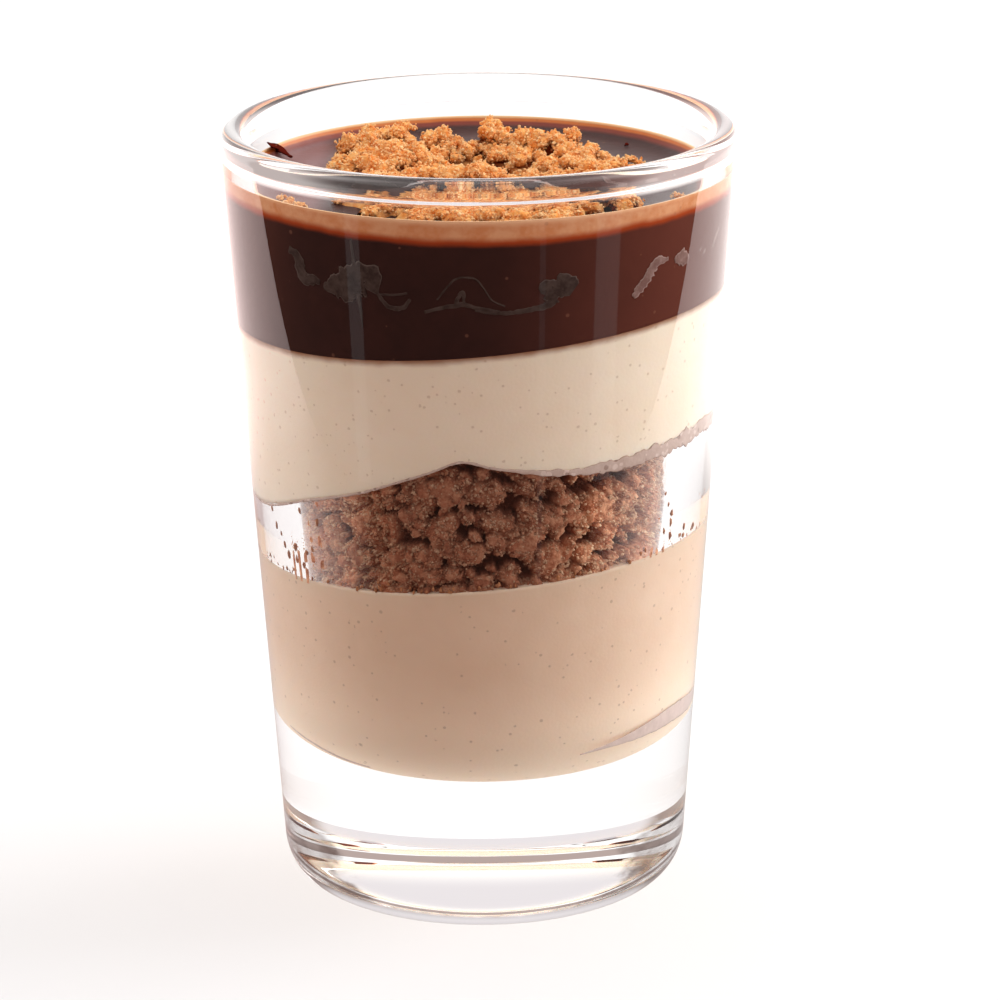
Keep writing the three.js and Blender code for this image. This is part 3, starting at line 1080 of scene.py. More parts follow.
@dataclass
class CrumbLayer:
    """Cake crumbs pressed against the glass between two creams, with gaps between the lumps.

    Pairs "at" are the two ends of a ramp, in degrees from straight left or right.
    Lump sizes are in mm.
    """

    glass: Glass
    levels: Levels
    columns: int = 860
    rows: int = 78
    clearance: float = 0.05 * MM
    pressed_in: float = 0.04 * MM
    gap_depth: float = 2.4 * MM
    overlap: float = 0.35 * MM
    pitch: float = 2.8 * MM
    levels_of_lumps: int = 5
    big_sizes: tuple[float, float] = (0.9, 2.1)
    big_inner: tuple[float, float, float] = (0.1, 0.45, 1.0)
    big_inner_odds: tuple[float, float, float] = (0.55, 0.33, 0.12)
    small_count: int = 900
    small_sizes: tuple[float, float] = (0.35, 0.95)
    small_inner: tuple[float, float, float] = (0.0, 0.4, 0.9)
    grain_count: int = 23500
    warp: float = 1.1 * MM
    warp_size: float = 1.7 * MM
    bumps: tuple[tuple[float, float, int], ...] = ((1.3, 1.0, 31), (0.62, 0.7, 37), (0.36, 0.5, 41))
    side_radius: float = 20.25 * MM
    side_widen: float = 1.6 * MM
    side_rough: float = 0.12 * MM
    widen_at: tuple[float, float] = (27, 42)
    loose_at: tuple[float, float] = (30, 38)
    press_at: tuple[float, float] = (24, 26)
    release_at: tuple[float, float] = (44, 38)
    rib_count: int = 120
    closed: float = 1.1 * MM
    seed: int = 23
    lumps: Array = field(init=False)
    grain_tone: Array = field(init=False)

    def __post_init__(self) -> None:
        """Draws the lumps: bearing, share of the height, radius, depth of the centre.

        Big lumps stand on a lattice that is shaken up, some of them further in.
        Small lumps lie anywhere.
        """
        draw = np.random.default_rng(self.seed)
        around = 2 * math.pi * self.wall_radius
        across, up = np.meshgrid(np.arange(int(around / self.pitch)), np.arange(self.levels_of_lumps))
        count = across.size
        bearing = (across.ravel() + 0.5 * (up.ravel() % 2) + draw.uniform(-0.45, 0.45, count)) * self.pitch
        share = (up.ravel() + 0.5 + draw.uniform(-0.5, 0.5, count)) / self.levels_of_lumps
        radius = draw.uniform(*self.big_sizes, count) * MM
        inner = draw.choice(self.big_inner, count, p=self.big_inner_odds) * MM
        depth = radius * draw.uniform(0.85, 1.0, count) + inner
        big = np.stack([bearing * 2 * math.pi / around, share, radius, depth], -1)
        count = self.small_count
        radius = draw.uniform(*self.small_sizes, count) * MM
        depth = radius * draw.uniform(0.7, 1.0, count) + draw.choice(self.small_inner, count) * MM
        small = [draw.uniform(0, 2 * math.pi, count), draw.uniform(-0.03, 1.03, count), radius, depth]
        self.lumps = np.concatenate([big, np.stack(small, -1)])

    @property
    def wall_radius(self) -> float:
        """Radius of the wall at the top of the crumbs. Returns: radius."""
        return float(self.glass.bore(self.levels.crumb_top))

    def edges(self, bearing: Array) -> tuple[Array, Array]:
        """Lowest and highest level of the crumbs at the wall. Args: bearing. Returns: both."""
        reach = self.wall_radius - self.clearance
        x, y = reach * np.cos(bearing), reach * np.sin(bearing)
        return self.levels.coffee(x, y) - self.overlap, self.levels.crumbs(x, y) + self.overlap

    def off_side(self, bearing: Array) -> Array:
        """Angle from straight left or right. Args: bearing. Returns: degrees, 0 to 90."""
        return np.degrees(np.arccos(np.minimum(np.abs(np.cos(bearing)), 1)))

    def depth(self, bearing: Array, height: Array) -> Array:
        """How far the crumbs lie behind the wall.

        The least, over all lumps, of centre depth - sqrt(radius^2 - distance^2), with
        the distance warped by noise of three sizes; then round bumps of three sizes,
        each a noise without its sign, are taken off. The result is kept between the
        clearance and the deepest gap. Near the two edges it shrinks, as the creams
        close the gaps. At the two sides the crumbs stand upright: there the depth is
        the wall's radius - a fixed radius.

        Args:
            bearing: Angles round the axis.
            height: Heights.

        Returns:
            Depths.
        """
        around = self.wall_radius
        place = polar(around, bearing, height)
        side = bearing + self.warp / around * layered_noise(place, self.warp_size, 4, 3)
        tall = height + self.warp * layered_noise(place, self.warp_size, 4, 9)
        depth = self.gap_depth * (1 + 0.2 * lattice_noise(place / (1.1 * MM), 19))
        for turn, share, radius, inner in self.lumps:
            low, high = self.edges(np.array(turn))
            across = around * ((side - turn + math.pi) % (2 * math.pi) - math.pi)
            along = tall - (low + share * (high - low))
            near = (np.abs(across) < radius) & (np.abs(along) < radius)
            inside = radius**2 - across[near] ** 2 - along[near] ** 2
            dome = inner - np.sqrt(np.maximum(inside, 0))
            depth[near] = np.where(inside > 0, np.minimum(depth[near], dome), depth[near])
        bumps = 0
        for size, part, seed in self.bumps:
            bumps = bumps + part * np.abs(lattice_noise(place / (size * MM), seed))
        depth = depth + (0.42 - 0.5 * bumps) * MM
        low, high = self.edges(bearing)
        edge = np.minimum(height - low, high - height) - self.overlap
        depth = depth * (0.3 + 0.7 * ramp(edge, 0, self.closed))
        off_side = self.off_side(bearing)
        widen = self.side_widen * ramp(off_side, *self.widen_at) ** 2
        least = self.glass.bore(height) - self.side_radius - widen + self.side_rough * np.abs(bumps - 0.6)
        depth = least + ramp(off_side, *self.loose_at) * np.maximum(depth - least, 0)
        return np.clip(depth, self.closest(bearing), self.gap_depth + 0.4 * MM)

    def closest(self, bearing: Array) -> Array:
        """Least depth: the clearance, but pressed into the wall in ribs between the sides and the middle.

        A rib is 0.1 + 2 sin(120 t + 3 sin(9 t)), kept to 0..1.

        Args:
            bearing: Angles round the axis.

        Returns:
            Depths, below 0 where the crumbs are pressed in.
        """
        off_side = self.off_side(bearing)
        ribs = np.clip(0.1 + 2 * np.sin(self.rib_count * bearing + 3 * np.sin(9 * bearing)), 0, 1)
        pressed = ramp(off_side, *self.press_at) * ramp(off_side, *self.release_at) * ribs
        return self.clearance - pressed * (self.clearance + self.pressed_in)

    def core(self) -> tuple[Array, Array, Array]:
        """The relief: at bearing t and height z, the point at radius bore(z) - depth(t, z).

        Returns:
            Points, triangles and each point's depth as a share of the deepest.
        """
        bearing = full_turn(self.columns)[None]
        low, high = self.edges(bearing)
        height = low + np.linspace(0, 1, self.rows)[:, None] * (high - low)
        bearing = np.broadcast_to(bearing, height.shape)
        depth = self.depth(bearing, height)
        zero = np.zeros(1)
        floor = (0, 0, self.levels.coffee(zero, zero)[0] - self.overlap)
        roof = (0, 0, self.levels.crumbs(zero, zero)[0] + self.overlap)
        share = np.concatenate([[1], depth.ravel() / self.gap_depth, [1]])
        return (*closed_mesh(self.glass.on_bore(bearing, height, depth), floor, roof), share)

    def grains(self) -> tuple[Array, Array, Array]:
        """Grains set into the relief, none of them past the clearance.

        Returns:
            Points, triangles and each point's depth as a share of the deepest.
        """
        draw = np.random.default_rng(self.seed + 1)
        count = self.grain_count
        bearing = draw.uniform(0, 2 * math.pi, count)
        low, high = self.edges(bearing)
        height = low + draw.uniform(0.015, 0.985, count) * (high - low)
        size = (0.09 + 0.15 * draw.uniform(0, 1, count) ** 2) * MM
        depth = self.depth(bearing, height)
        places = self.glass.on_bore(bearing, height, depth - draw.uniform(-0.2, 1.1, count) * size)
        solid = octahedron()
        corners = len(solid[0])
        points, triangles = grain_mesh(places, size, draw, solid)
        over = np.hypot(points[:, 0], points[:, 1]) - self.glass.bore(points[:, 2])
        shift = np.maximum(over.reshape(count, -1).max(-1) + self.closest(bearing), 0)
        points[:, :2] -= np.repeat(polar(shift, bearing, 0)[:, :2], corners, axis=0)
        self.grain_tone = np.repeat(np.maximum(draw.uniform(-1.6, 1.0, count), 0), corners)
        return points, triangles, np.repeat(0.8 * depth / self.gap_depth, corners)

    def build(self, core_finish: CrumbFinish, grain_finish: CrumbFinish) -> list[bpy.types.Object]:
        """Makes the relief and the grains. Args: their finishes. Returns: the two objects."""
        pieces = []
        for name, made, finish in (
            ("crumb_layer", self.core(), core_finish),
            ("crumb_layer_grains", self.grains(), grain_finish),
        ):
            points, triangles, share = made
            piece = new_object(name, points, triangles, smooth=finish is core_finish)
            # The stored depth drives painted shade in the finish: deeper places are painted darker.
            mark(piece, "depth", share)
            piece.data.materials.append(finish.build())
            pieces.append(piece)
        mark(pieces[1], "tone", self.grain_tone)
        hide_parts("crumb_layer")
        return pieces


# -------------------------------------------------------------- marks and specks


def smooth_path(stops: Array, steps: int) -> Array:
    """A curve through given stops: a Catmull-Rom cubic between each two of them.

    Args:
        stops: Values at the stops, shape (n, k).
        steps: Points between two stops.

    Returns:
        Values along the curve, shape ((n - 1) x steps + 1, k).
    """
    padded = np.concatenate([[2 * stops[0] - stops[1]], stops, [2 * stops[-1] - stops[-2]]])
    place = np.linspace(0, len(stops) - 1, (len(stops) - 1) * steps + 1)
    start = np.minimum(place.astype(int), len(stops) - 2)
    f = (place - start)[:, None]
    a, b, c, d = (padded[start + step] for step in range(4))
    return 0.5 * (2 * b + (c - a) * f + (2 * a - 5 * b + 4 * c - d) * f**2 + (3 * b - a - 3 * c + d) * f**3)


def ribbon_mesh(centre: Array, out: Array, wide: Array, thick: float) -> tuple[Array, Array, Array]:
    """A closed strip: centre + wide sin(a) side + thick cos(a) out, with a once round.

    The side is the direction along the strip x out.

    Args:
        centre: Points along the middle, shape (n, 3).
        out: Unit directions in which the strip faces, shape (n, 3).
        wide: Half widths, shape (n, segments).
        thick: Half thickness.

    Returns:
        Points, triangles, and for each point 0 in the middle to 1 at a side.
    """
    side = np.cross(np.gradient(centre, axis=0), out)
    side /= np.linalg.norm(side, axis=1, keepdims=True)
    turn = full_turn(wide.shape[1])
    across = (wide * np.sin(turn))[..., None] * side[:, None]
    grid = centre[:, None] + across + thick * np.cos(turn)[None, :, None] * out[:, None]
    edge = np.concatenate([[1], np.tile(np.abs(np.sin(turn)), len(centre)), [1]])
    return (*closed_mesh(grid, centre[0], centre[-1]), edge)


def ribbon_object(name: str, ribbons: Sequence[tuple], finish: FilmFinish) -> bpy.types.Object:
    """Joins ribbons into one piece. Args: name, what ribbon_mesh made, finish. Returns: the object."""
    piece = new_object(name, *join([(points, faces) for points, faces, _ in ribbons]))
    mark(piece, "edge", np.concatenate([edge for _, _, edge in ribbons]))
    piece.data.materials.append(finish.build())
    return piece


@dataclass
class WallMarks:
    """Strips in the skin between a filling and the glass, each along a curve on the wall.

    A stroke is a row of stops: bearing in degrees, height and half width in mm.
    """

    glass: Glass
    name: str
    strokes: Sequence[Stroke]
    middle: float = 0.05 * MM
    thick: float = 0.06 * MM
    thinnest: float = 0.03 * MM
    ragged: float = 0.4
    tear: float = 0.45 * MM
    steps: int = 12
    segments: int = 12
    seed: int = 71

    def strip(self, stroke: Array) -> tuple[Array, Array, Array]:
        """One strip: a ribbon that faces out along the wall's normal, its sides torn by noise.

        Args:
            stroke: Stops, shape (n, 3).

        Returns:
            Points, triangles and the share of the way to the side.
        """
        path = smooth_path(stroke, self.steps)
        bearing, height = np.radians(path[:, 0]), path[:, 1] * MM
        half = np.maximum(path[:, 2] * MM, self.thinnest)
        lean = self.glass.bore_lean
        centre = self.glass.on_bore(bearing, height, -self.middle)
        side = np.sign(np.sin(full_turn(self.segments)))
        spot = centre[:, None] / self.tear + 9 * side[None, :, None]
        wide = half[:, None] * (1 + self.ragged * layered_noise(spot, 1.0, 2, self.seed))
        return ribbon_mesh(centre, polar(math.cos(lean), bearing, -math.sin(lean)), wide, self.thick)

    def build(self, finish: FilmFinish) -> bpy.types.Object:
        """Makes all the strips as one piece. Args: their finish. Returns: the object."""
        return ribbon_object(self.name, [self.strip(np.array(stroke)) for stroke in self.strokes], finish)


def wet_edge(levels: Levels, glass: Glass) -> Stroke:
    """The wet line all round under the ivory cream: widest at the right, thin elsewhere.

    The half width is 0.13 mm + 0.72 mm x a smooth step up before the right side x a
    smooth step down behind it.

    Args:
        levels: Gives the underside of the cream.
        glass: Gives the wall.

    Returns:
        The stops.
    """
    bearing = np.arange(91.0, 450.0, 1.5)
    turn = (bearing + 180) % 360 - 180
    radius = float(glass.bore(levels.crumb_top))
    x, y = radius * np.cos(np.radians(bearing)), radius * np.sin(np.radians(bearing))
    half = 0.13 + 0.72 * ease(ramp(turn, -92, -30)) * ease(ramp(turn, 75, 35))
    height = levels.crumbs(x, y) / MM + 0.2 - 0.85 * half
    return tuple(zip(bearing.tolist(), height.tolist(), half.tolist()))


@dataclass
class GlassSpecks:
    """Crumb specks that stick to the glass: a few at given places, a row along the coffee's edge."""

    glass: Glass
    levels: Levels
    spots: Sequence[tuple[float, float]]
    row_count: int = 150
    row_spread: float = 0.4 * MM
    row_lift: float = 0.1 * MM
    size: tuple[float, float] = (0.18 * MM, 0.36 * MM)
    stretch: float = 1.8
    seed: int = 83

    def build(self, finish: CrumbFinish) -> bpy.types.Object:
        """Makes the specks: grains centred 0.3 of their size inside the wall, drawn out upwards.

        Args:
            finish: Their finish.

        Returns:
            The object.
        """
        draw = np.random.default_rng(self.seed)
        spots = np.array(self.spots)
        turn = draw.uniform(0, 2 * math.pi, self.row_count)
        radius = float(self.glass.bore(self.levels.coffee_top))
        level = self.levels.coffee(radius * np.cos(turn), radius * np.sin(turn))
        bearing = np.concatenate([np.radians(spots[:, 0]), turn])
        spread = np.abs(draw.normal(size=self.row_count)) * self.row_spread
        height = np.concatenate([spots[:, 1] * MM, level + spread + self.row_lift])
        size = draw.uniform(*self.size, len(height))
        size[len(spots):] *= 0.5
        shape = icosahedron()
        corners = len(shape[0])
        points, triangles = grain_mesh(self.glass.on_bore(bearing, height, 0.3 * size), size, draw, shape)
        middle = np.repeat(height, corners)
        points[:, 2] = middle + self.stretch * (points[:, 2] - middle)
        piece = new_object("crumb_specks", points, triangles)
        mark(piece, "tone", np.repeat(draw.uniform(0, 0.5, len(height)), corners))
        piece.data.materials.append(finish.build())
        return piece


@dataclass
class ChocolateScraps:
    """Torn scraps of dark chocolate that lie on the top: bent, thin and pointed.

    A scrap is a row of stops: x, y, z and half width in mm.
    """

    scraps: Sequence[tuple[tuple[float, float, float, float], ...]]
    thick: float = 0.16 * MM
    facing: tuple[float, float, float] = (0.35, -0.55, 0.76)

    def build(self, finish: FilmFinish) -> bpy.types.Object:
        """Makes the scraps: ribbons along curves. Args: their finish. Returns: the object."""
        made = []
        for stops in self.scraps:
            path = smooth_path(np.array(stops) * MM, 8)
            centre = path[:, :3]
            wide = path[:, 3] * (1 + 0.5 * layered_noise(centre, 0.8 * MM, 2, 12))
            out = np.tile(self.facing, (len(centre), 1))
            made.append(ribbon_mesh(centre, out, np.repeat(wide[:, None], 10, 1), self.thick))
        return ribbon_object("chocolate_scraps", made, finish)


# --------------------------------------------------------------------- topping


def shaken_lattice(across: Array, along: Array, shake: float, draw: np.random.Generator) -> Mesh:
    """A flat lattice of places, each moved at random, first across and then along.

    Args:
        across: The lattice's x values.
        along: Its y values.
        shake: The most that a place moves on each axis.
        draw: Source of random numbers.

    Returns:
        The x and the y of each place.
    """
    x, y = (axis.ravel() for axis in np.meshgrid(across, along))
    return x + draw.uniform(-1, 1, x.size) * shake, y + draw.uniform(-1, 1, y.size) * shake


@dataclass
class CrumbHeap:
    """Golden cake crumbs heaped on the chocolate: a low core, clumps of lumps, then grains.

    A clump is its place, its top over the chocolate and its radius, in mm. Those
    behind are placed one by one. Those in front are drawn inside a squarish outline.
    A bare spot is its place and half its width, in mm.
    """

    level: float
    placed: Sequence[tuple[float, float, float, float]]
    front_middle: tuple[float, float] = (1.3 * MM, -7.5 * MM)
    front_half: tuple[float, float] = (14.3 * MM, 14.6 * MM)
    front_limit: float = -2.2 * MM
    edge_radius: float = 24.2 * MM
    pitch: float = 3.3 * MM
    front_tops: tuple[float, float] = (1.3, 2.9)
    front_radii: tuple[float, float] = (1.15, 1.9)
    lumps_of_clump: int = 9
    filler_pitch: float = 1.75 * MM
    small_count: int = 430
    grain_count: int = 9800
    bit_count: int = 24500
    grain_sizes: tuple[float, float] = (0.12 * MM, 0.23 * MM)
    bit_sizes: tuple[float, float] = (0.08 * MM, 0.15 * MM)
    hollow: float = 1.6 * MM
    core_place: float = -3.0 * MM
    core_reach: float = 18.7 * MM
    core_share: float = 0.45
    core_sunk: float = -0.5 * MM
    bare: tuple[tuple[float, float, float], ...] = ((0.9, 0.4, 2.6), (7.4, -18.8, 1.5), (2.3, -19.8, 1.4))
    seed: int = 5
    clumps: Array = field(init=False)

    def __post_init__(self) -> None:
        """Draws the front clumps on a shaken lattice and puts all in one array."""
        draw = np.random.default_rng(self.seed + 9)
        steps = np.arange(-6, 7) * self.pitch
        x, y = shaken_lattice(steps, steps + self.front_middle[1], 0.35 * self.pitch, draw)
        away = (np.abs(x - self.front_middle[0]) / self.front_half[0]) ** 3
        away = away + (np.abs(y - self.front_middle[1]) / self.front_half[1]) ** 3
        kept = (away < 1) & (y < self.front_limit) & (np.hypot(x, y) < self.edge_radius - 1.2 * MM)
        kept &= ~self.in_bare(x, y)
        count = int(kept.sum())
        top, radius = (draw.uniform(*span, count) * MM for span in (self.front_tops, self.front_radii))
        drawn = [x[kept], y[kept], top, radius]
        self.clumps = np.concatenate([np.array(self.placed) * MM, np.stack(drawn, -1)])

    def in_bare(self, x: Array, y: Array) -> Array:
        """Whether places lie in a bare spot, an oval 0.7 as deep as wide. Args: x, y. Returns: truths."""
        spots = [((x / MM - a) ** 2 + ((y / MM - b) / 0.7) ** 2) < half**2 for a, b, half in self.bare]
        return np.logical_or.reduce(spots)

    def envelope(self, x: Array, y: Array) -> Array:
        """Height of the heap's rough outline: the most, over the clumps, of a wide dome.

        A dome is top x sqrt(1 - distance^2 / (1.7 radius)^2).

        Args:
            x: Places across.
            y: Places from front to back.

        Returns:
            Heights over the chocolate, 0 off the heap.
        """
        cx, cy, top, radius = self.clumps.T
        away = ((x[..., None] - cx) ** 2 + (y[..., None] - cy) ** 2) / (1.7 * radius) ** 2
        return (top * np.sqrt(np.maximum(1 - away, 0))).max(-1)

    def cavity(self, points: Array) -> Array:
        """How deep points lie under the outline, which the finish turns into painted shade: (outline -
        height) / hollow, kept to 0..1. Args: points. Returns: shares.
        """
        under = self.level + self.envelope(points[:, 0], points[:, 1]) - points[:, 2]
        return ramp(under, 0, self.hollow)

    def core(self, rings: int = 40, segments: int = 110) -> Mesh:
        """The body under the lumps: rings round the middle, at 0.45 x outline, sunk at the rim.

        Args:
            rings: Number of rings.
            segments: Points in a ring.

        Returns:
            Points and triangles.
        """
        radius = self.core_reach * np.linspace(1, 0.03, rings)[:, None]
        bearing = full_turn(segments)[None]
        x, y = radius * np.cos(bearing), self.core_place + radius * np.sin(bearing)
        height = self.core_share * self.envelope(x, y)
        rise = np.where((height > 0.3 * MM) & ~self.in_bare(x, y), height, self.core_sunk)
        grid = np.stack([x, y, self.level + rise], -1)
        middle = self.core_share * float(self.envelope(np.zeros(1), np.full(1, self.core_place))[0])
        low, high = ((0, self.core_place, self.level + rise) for rise in (2 * self.core_sunk, middle))
        return closed_mesh(grid, low, high)

    def lumps(self) -> tuple[Array, Array, Array, Array]:
        """Draws the lumps.

        Each clump is one lump with smaller ones round it, drawn out along a way of
        its own. Low fillers stand on a shaken lattice. Small lumps sit on the others.

        Returns:
            Centres and radii of the big lumps, centres and radii of the small ones.
        """
        draw = np.random.default_rng(self.seed)
        x, y, top, radius = self.clumps.T
        low = np.maximum(top - 0.8 * radius, 0.2 * radius)
        cores = np.stack([x, y, self.level + low], -1)
        way = draw.normal(size=(len(x), self.lumps_of_clump, 3))
        way[..., 2] = np.where(way[..., 2] < 0, 0.45 * way[..., 2], 0.8 * way[..., 2])
        way /= np.linalg.norm(way, axis=-1, keepdims=True)
        turn = draw.uniform(0, math.pi, (len(x), 1))
        long_way = np.stack([np.cos(turn), np.sin(turn)], -1)
        length = (way[..., :2] * long_way).sum(-1, keepdims=True)
        way[..., :2] += 0.45 * length * long_way
        size = radius[:, None] * draw.uniform(0.3, 0.56, way.shape[:2])
        place = cores[:, None] + way * (radius[:, None] * draw.uniform(0.5, 0.82, size.shape))[..., None]
        least = self.level + 0.3 * size
        most = np.maximum(self.level + top[:, None] - 0.85 * size, least)
        place[..., 2] = np.clip(place[..., 2], least, most)

        steps = np.arange(-13, 14) * self.filler_pitch
        x, y = shaken_lattice(steps, steps + self.core_place, 0.5 * self.filler_pitch, draw)
        height = self.envelope(x, y) * draw.uniform(0.4, 0.78, x.size)
        kept = (height > 0.45 * MM) & ~self.in_bare(x, y)
        x, y, height = x[kept], y[kept], height[kept]
        fill = np.minimum(draw.uniform(0.6, 1.1, x.size) * MM, 0.5 * height + 0.25 * MM)
        fillers = np.stack([x, y, self.level + height - 0.85 * fill], -1)

        big = np.concatenate([cores, place.reshape(-1, 3), fillers])
        big_radii = np.concatenate([0.62 * radius, size.ravel(), fill])
        host = draw.choice(len(big), self.small_count, p=big_radii**2 / (big_radii**2).sum())
        way = draw.normal(size=(self.small_count, 3))
        way[:, 2] = np.abs(way[:, 2]) + 0.15
        way /= np.linalg.norm(way, axis=1, keepdims=True)
        small = draw.uniform(0.22, 0.5, self.small_count) * MM
        place = big[host] + way * (big_radii[host] * draw.uniform(0.85, 1.1, self.small_count))[:, None]
        place[:, 2] = np.maximum(place[:, 2], self.level + 0.3 * small)
        return big, big_radii, place, small

    def scatter(self, places: Array, radii: Array, count: int, sizes: tuple[float, float], seed: int) -> Mesh:
        """Places on the open skin of the lumps, some of them a size or two off it.

        Args:
            places: Centres of all lumps.
            radii: Their radii.
            count: How many are wanted.
            sizes: Least and greatest radius; most are near the least.
            seed: Picks the draw.

        Returns:
            Places, shape (count, 3), and radii, shape (count,).
        """
        draw = np.random.default_rng(seed)
        many = int(count * 4.5)
        host = draw.choice(len(radii), many, p=radii**2 / (radii**2).sum())
        way = draw.normal(size=(many, 3))
        way[:, 2] = np.where(way[:, 2] < 0, way[:, 2] * 0.5, way[:, 2])
        way /= np.linalg.norm(way, axis=1, keepdims=True)
        size = sizes[0] + (sizes[1] - sizes[0]) * draw.uniform(0, 1, many) ** 1.6
        stand = draw.choice([0.0, 0.6, 1.2, 2.0], many, p=[0.5, 0.27, 0.16, 0.07])
        reach = lump_radius(places[host], radii[host], way, self.seed) + stand * size
        point = places[host] + way * reach[:, None]
        clear = point[:, 2] > self.level + 0.05 * MM
        step = 3000
        for start in range(0, many, step):
            part = slice(start, start + step)
            gap = np.linalg.norm(point[part, None] - places[None], axis=-1) / radii[None]
            gap[np.arange(len(gap)), host[part]] = 9
            clear[part] &= gap.min(1) > 0.85
        kept = np.flatnonzero(clear)[:count]
        return point[kept], size[kept]

    def build(self, finishes: Sequence[CrumbFinish]) -> list[bpy.types.Object]:
        """Makes the heap.

        Args:
            finishes: Those of the lumps, the grains and the fine bits.

        Returns:
            The three objects.
        """
        big, big_radii, small, small_radii = self.lumps()
        big_lumps = lump_mesh(big, big_radii, 7, 11, self.seed)
        small_lumps = lump_mesh(small, small_radii, 4, 7, self.seed)
        centres, radii = np.concatenate([big, small]), np.concatenate([big_radii, small_radii])
        draw = np.random.default_rng(self.seed + 3)
        grain_spots = self.scatter(centres, radii, self.grain_count, self.grain_sizes, self.seed + 1)
        bit_spots = self.scatter(centres, radii, self.bit_count, self.bit_sizes, self.seed + 2)
        made = {
            "topping_lumps": join([self.core(), big_lumps, small_lumps]),
            "topping_grains": grain_mesh(*grain_spots, draw, icosahedron()),
            "topping_bits": grain_mesh(*bit_spots, draw, octahedron()),
        }
        pieces = [new_object(name, *mesh, smooth=name == "topping_lumps") for name, mesh in made.items()]
        for piece, (spots, _) in zip(pieces[1:], (grain_spots, bit_spots)):
            tones = 0.75 * draw.uniform(0, 1, len(spots)) ** 2
            mark(piece, "tone", np.repeat(tones, len(piece.data.vertices) // len(spots)))
        for piece, finish, (points, _) in zip(pieces, finishes, made.values()):
            mark(piece, "depth", self.cavity(points))
            piece.data.materials.append(finish.build())
            log.info("%s: %d points", piece.name, len(points))
        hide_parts("crumb_topping")
        return pieces


# ------------------------------------------------------------------------ stage


@dataclass(frozen=True)
class Viewpoint:
    """Where the camera stands, facing the front of the glass."""

    distance: float = 483.0 * MM
    height: float = 191.0 * MM
    pitch: float = math.radians(17.06)
    yaw: float = 0.0042
    roll: float = -0.0076
    sensor: float = 36.0
    lens: float = 164.2
    clip: tuple[float, float] = (0.01, 20)

    def build(self) -> bpy.types.Object:
        """Makes the camera and points it. Returns: the camera object."""
        data = bpy.data.cameras.new("camera")
        data.sensor_width = self.sensor
        data.lens = self.lens
        data.clip_start, data.clip_end = self.clip
        camera = bpy.data.objects.new("camera", data)
        bpy.context.collection.objects.link(camera)
        flat = math.cos(self.pitch)
        ahead = Vector((math.sin(self.yaw) * flat, math.cos(self.yaw) * flat, -math.sin(self.pitch)))
        right = ahead.cross(Vector((0, 0, 1))).normalized()
        up = right.cross(ahead)
        turned_right = right * math.cos(self.roll) + up * math.sin(self.roll)
        turned_up = -right * math.sin(self.roll) + up * math.cos(self.roll)
        basis = Matrix((turned_right, turned_up, -ahead)).transposed().to_4x4()
        camera.matrix_world = Matrix.Translation((0, -self.distance, self.height)) @ basis
        bpy.context.scene.camera = camera
        return camera


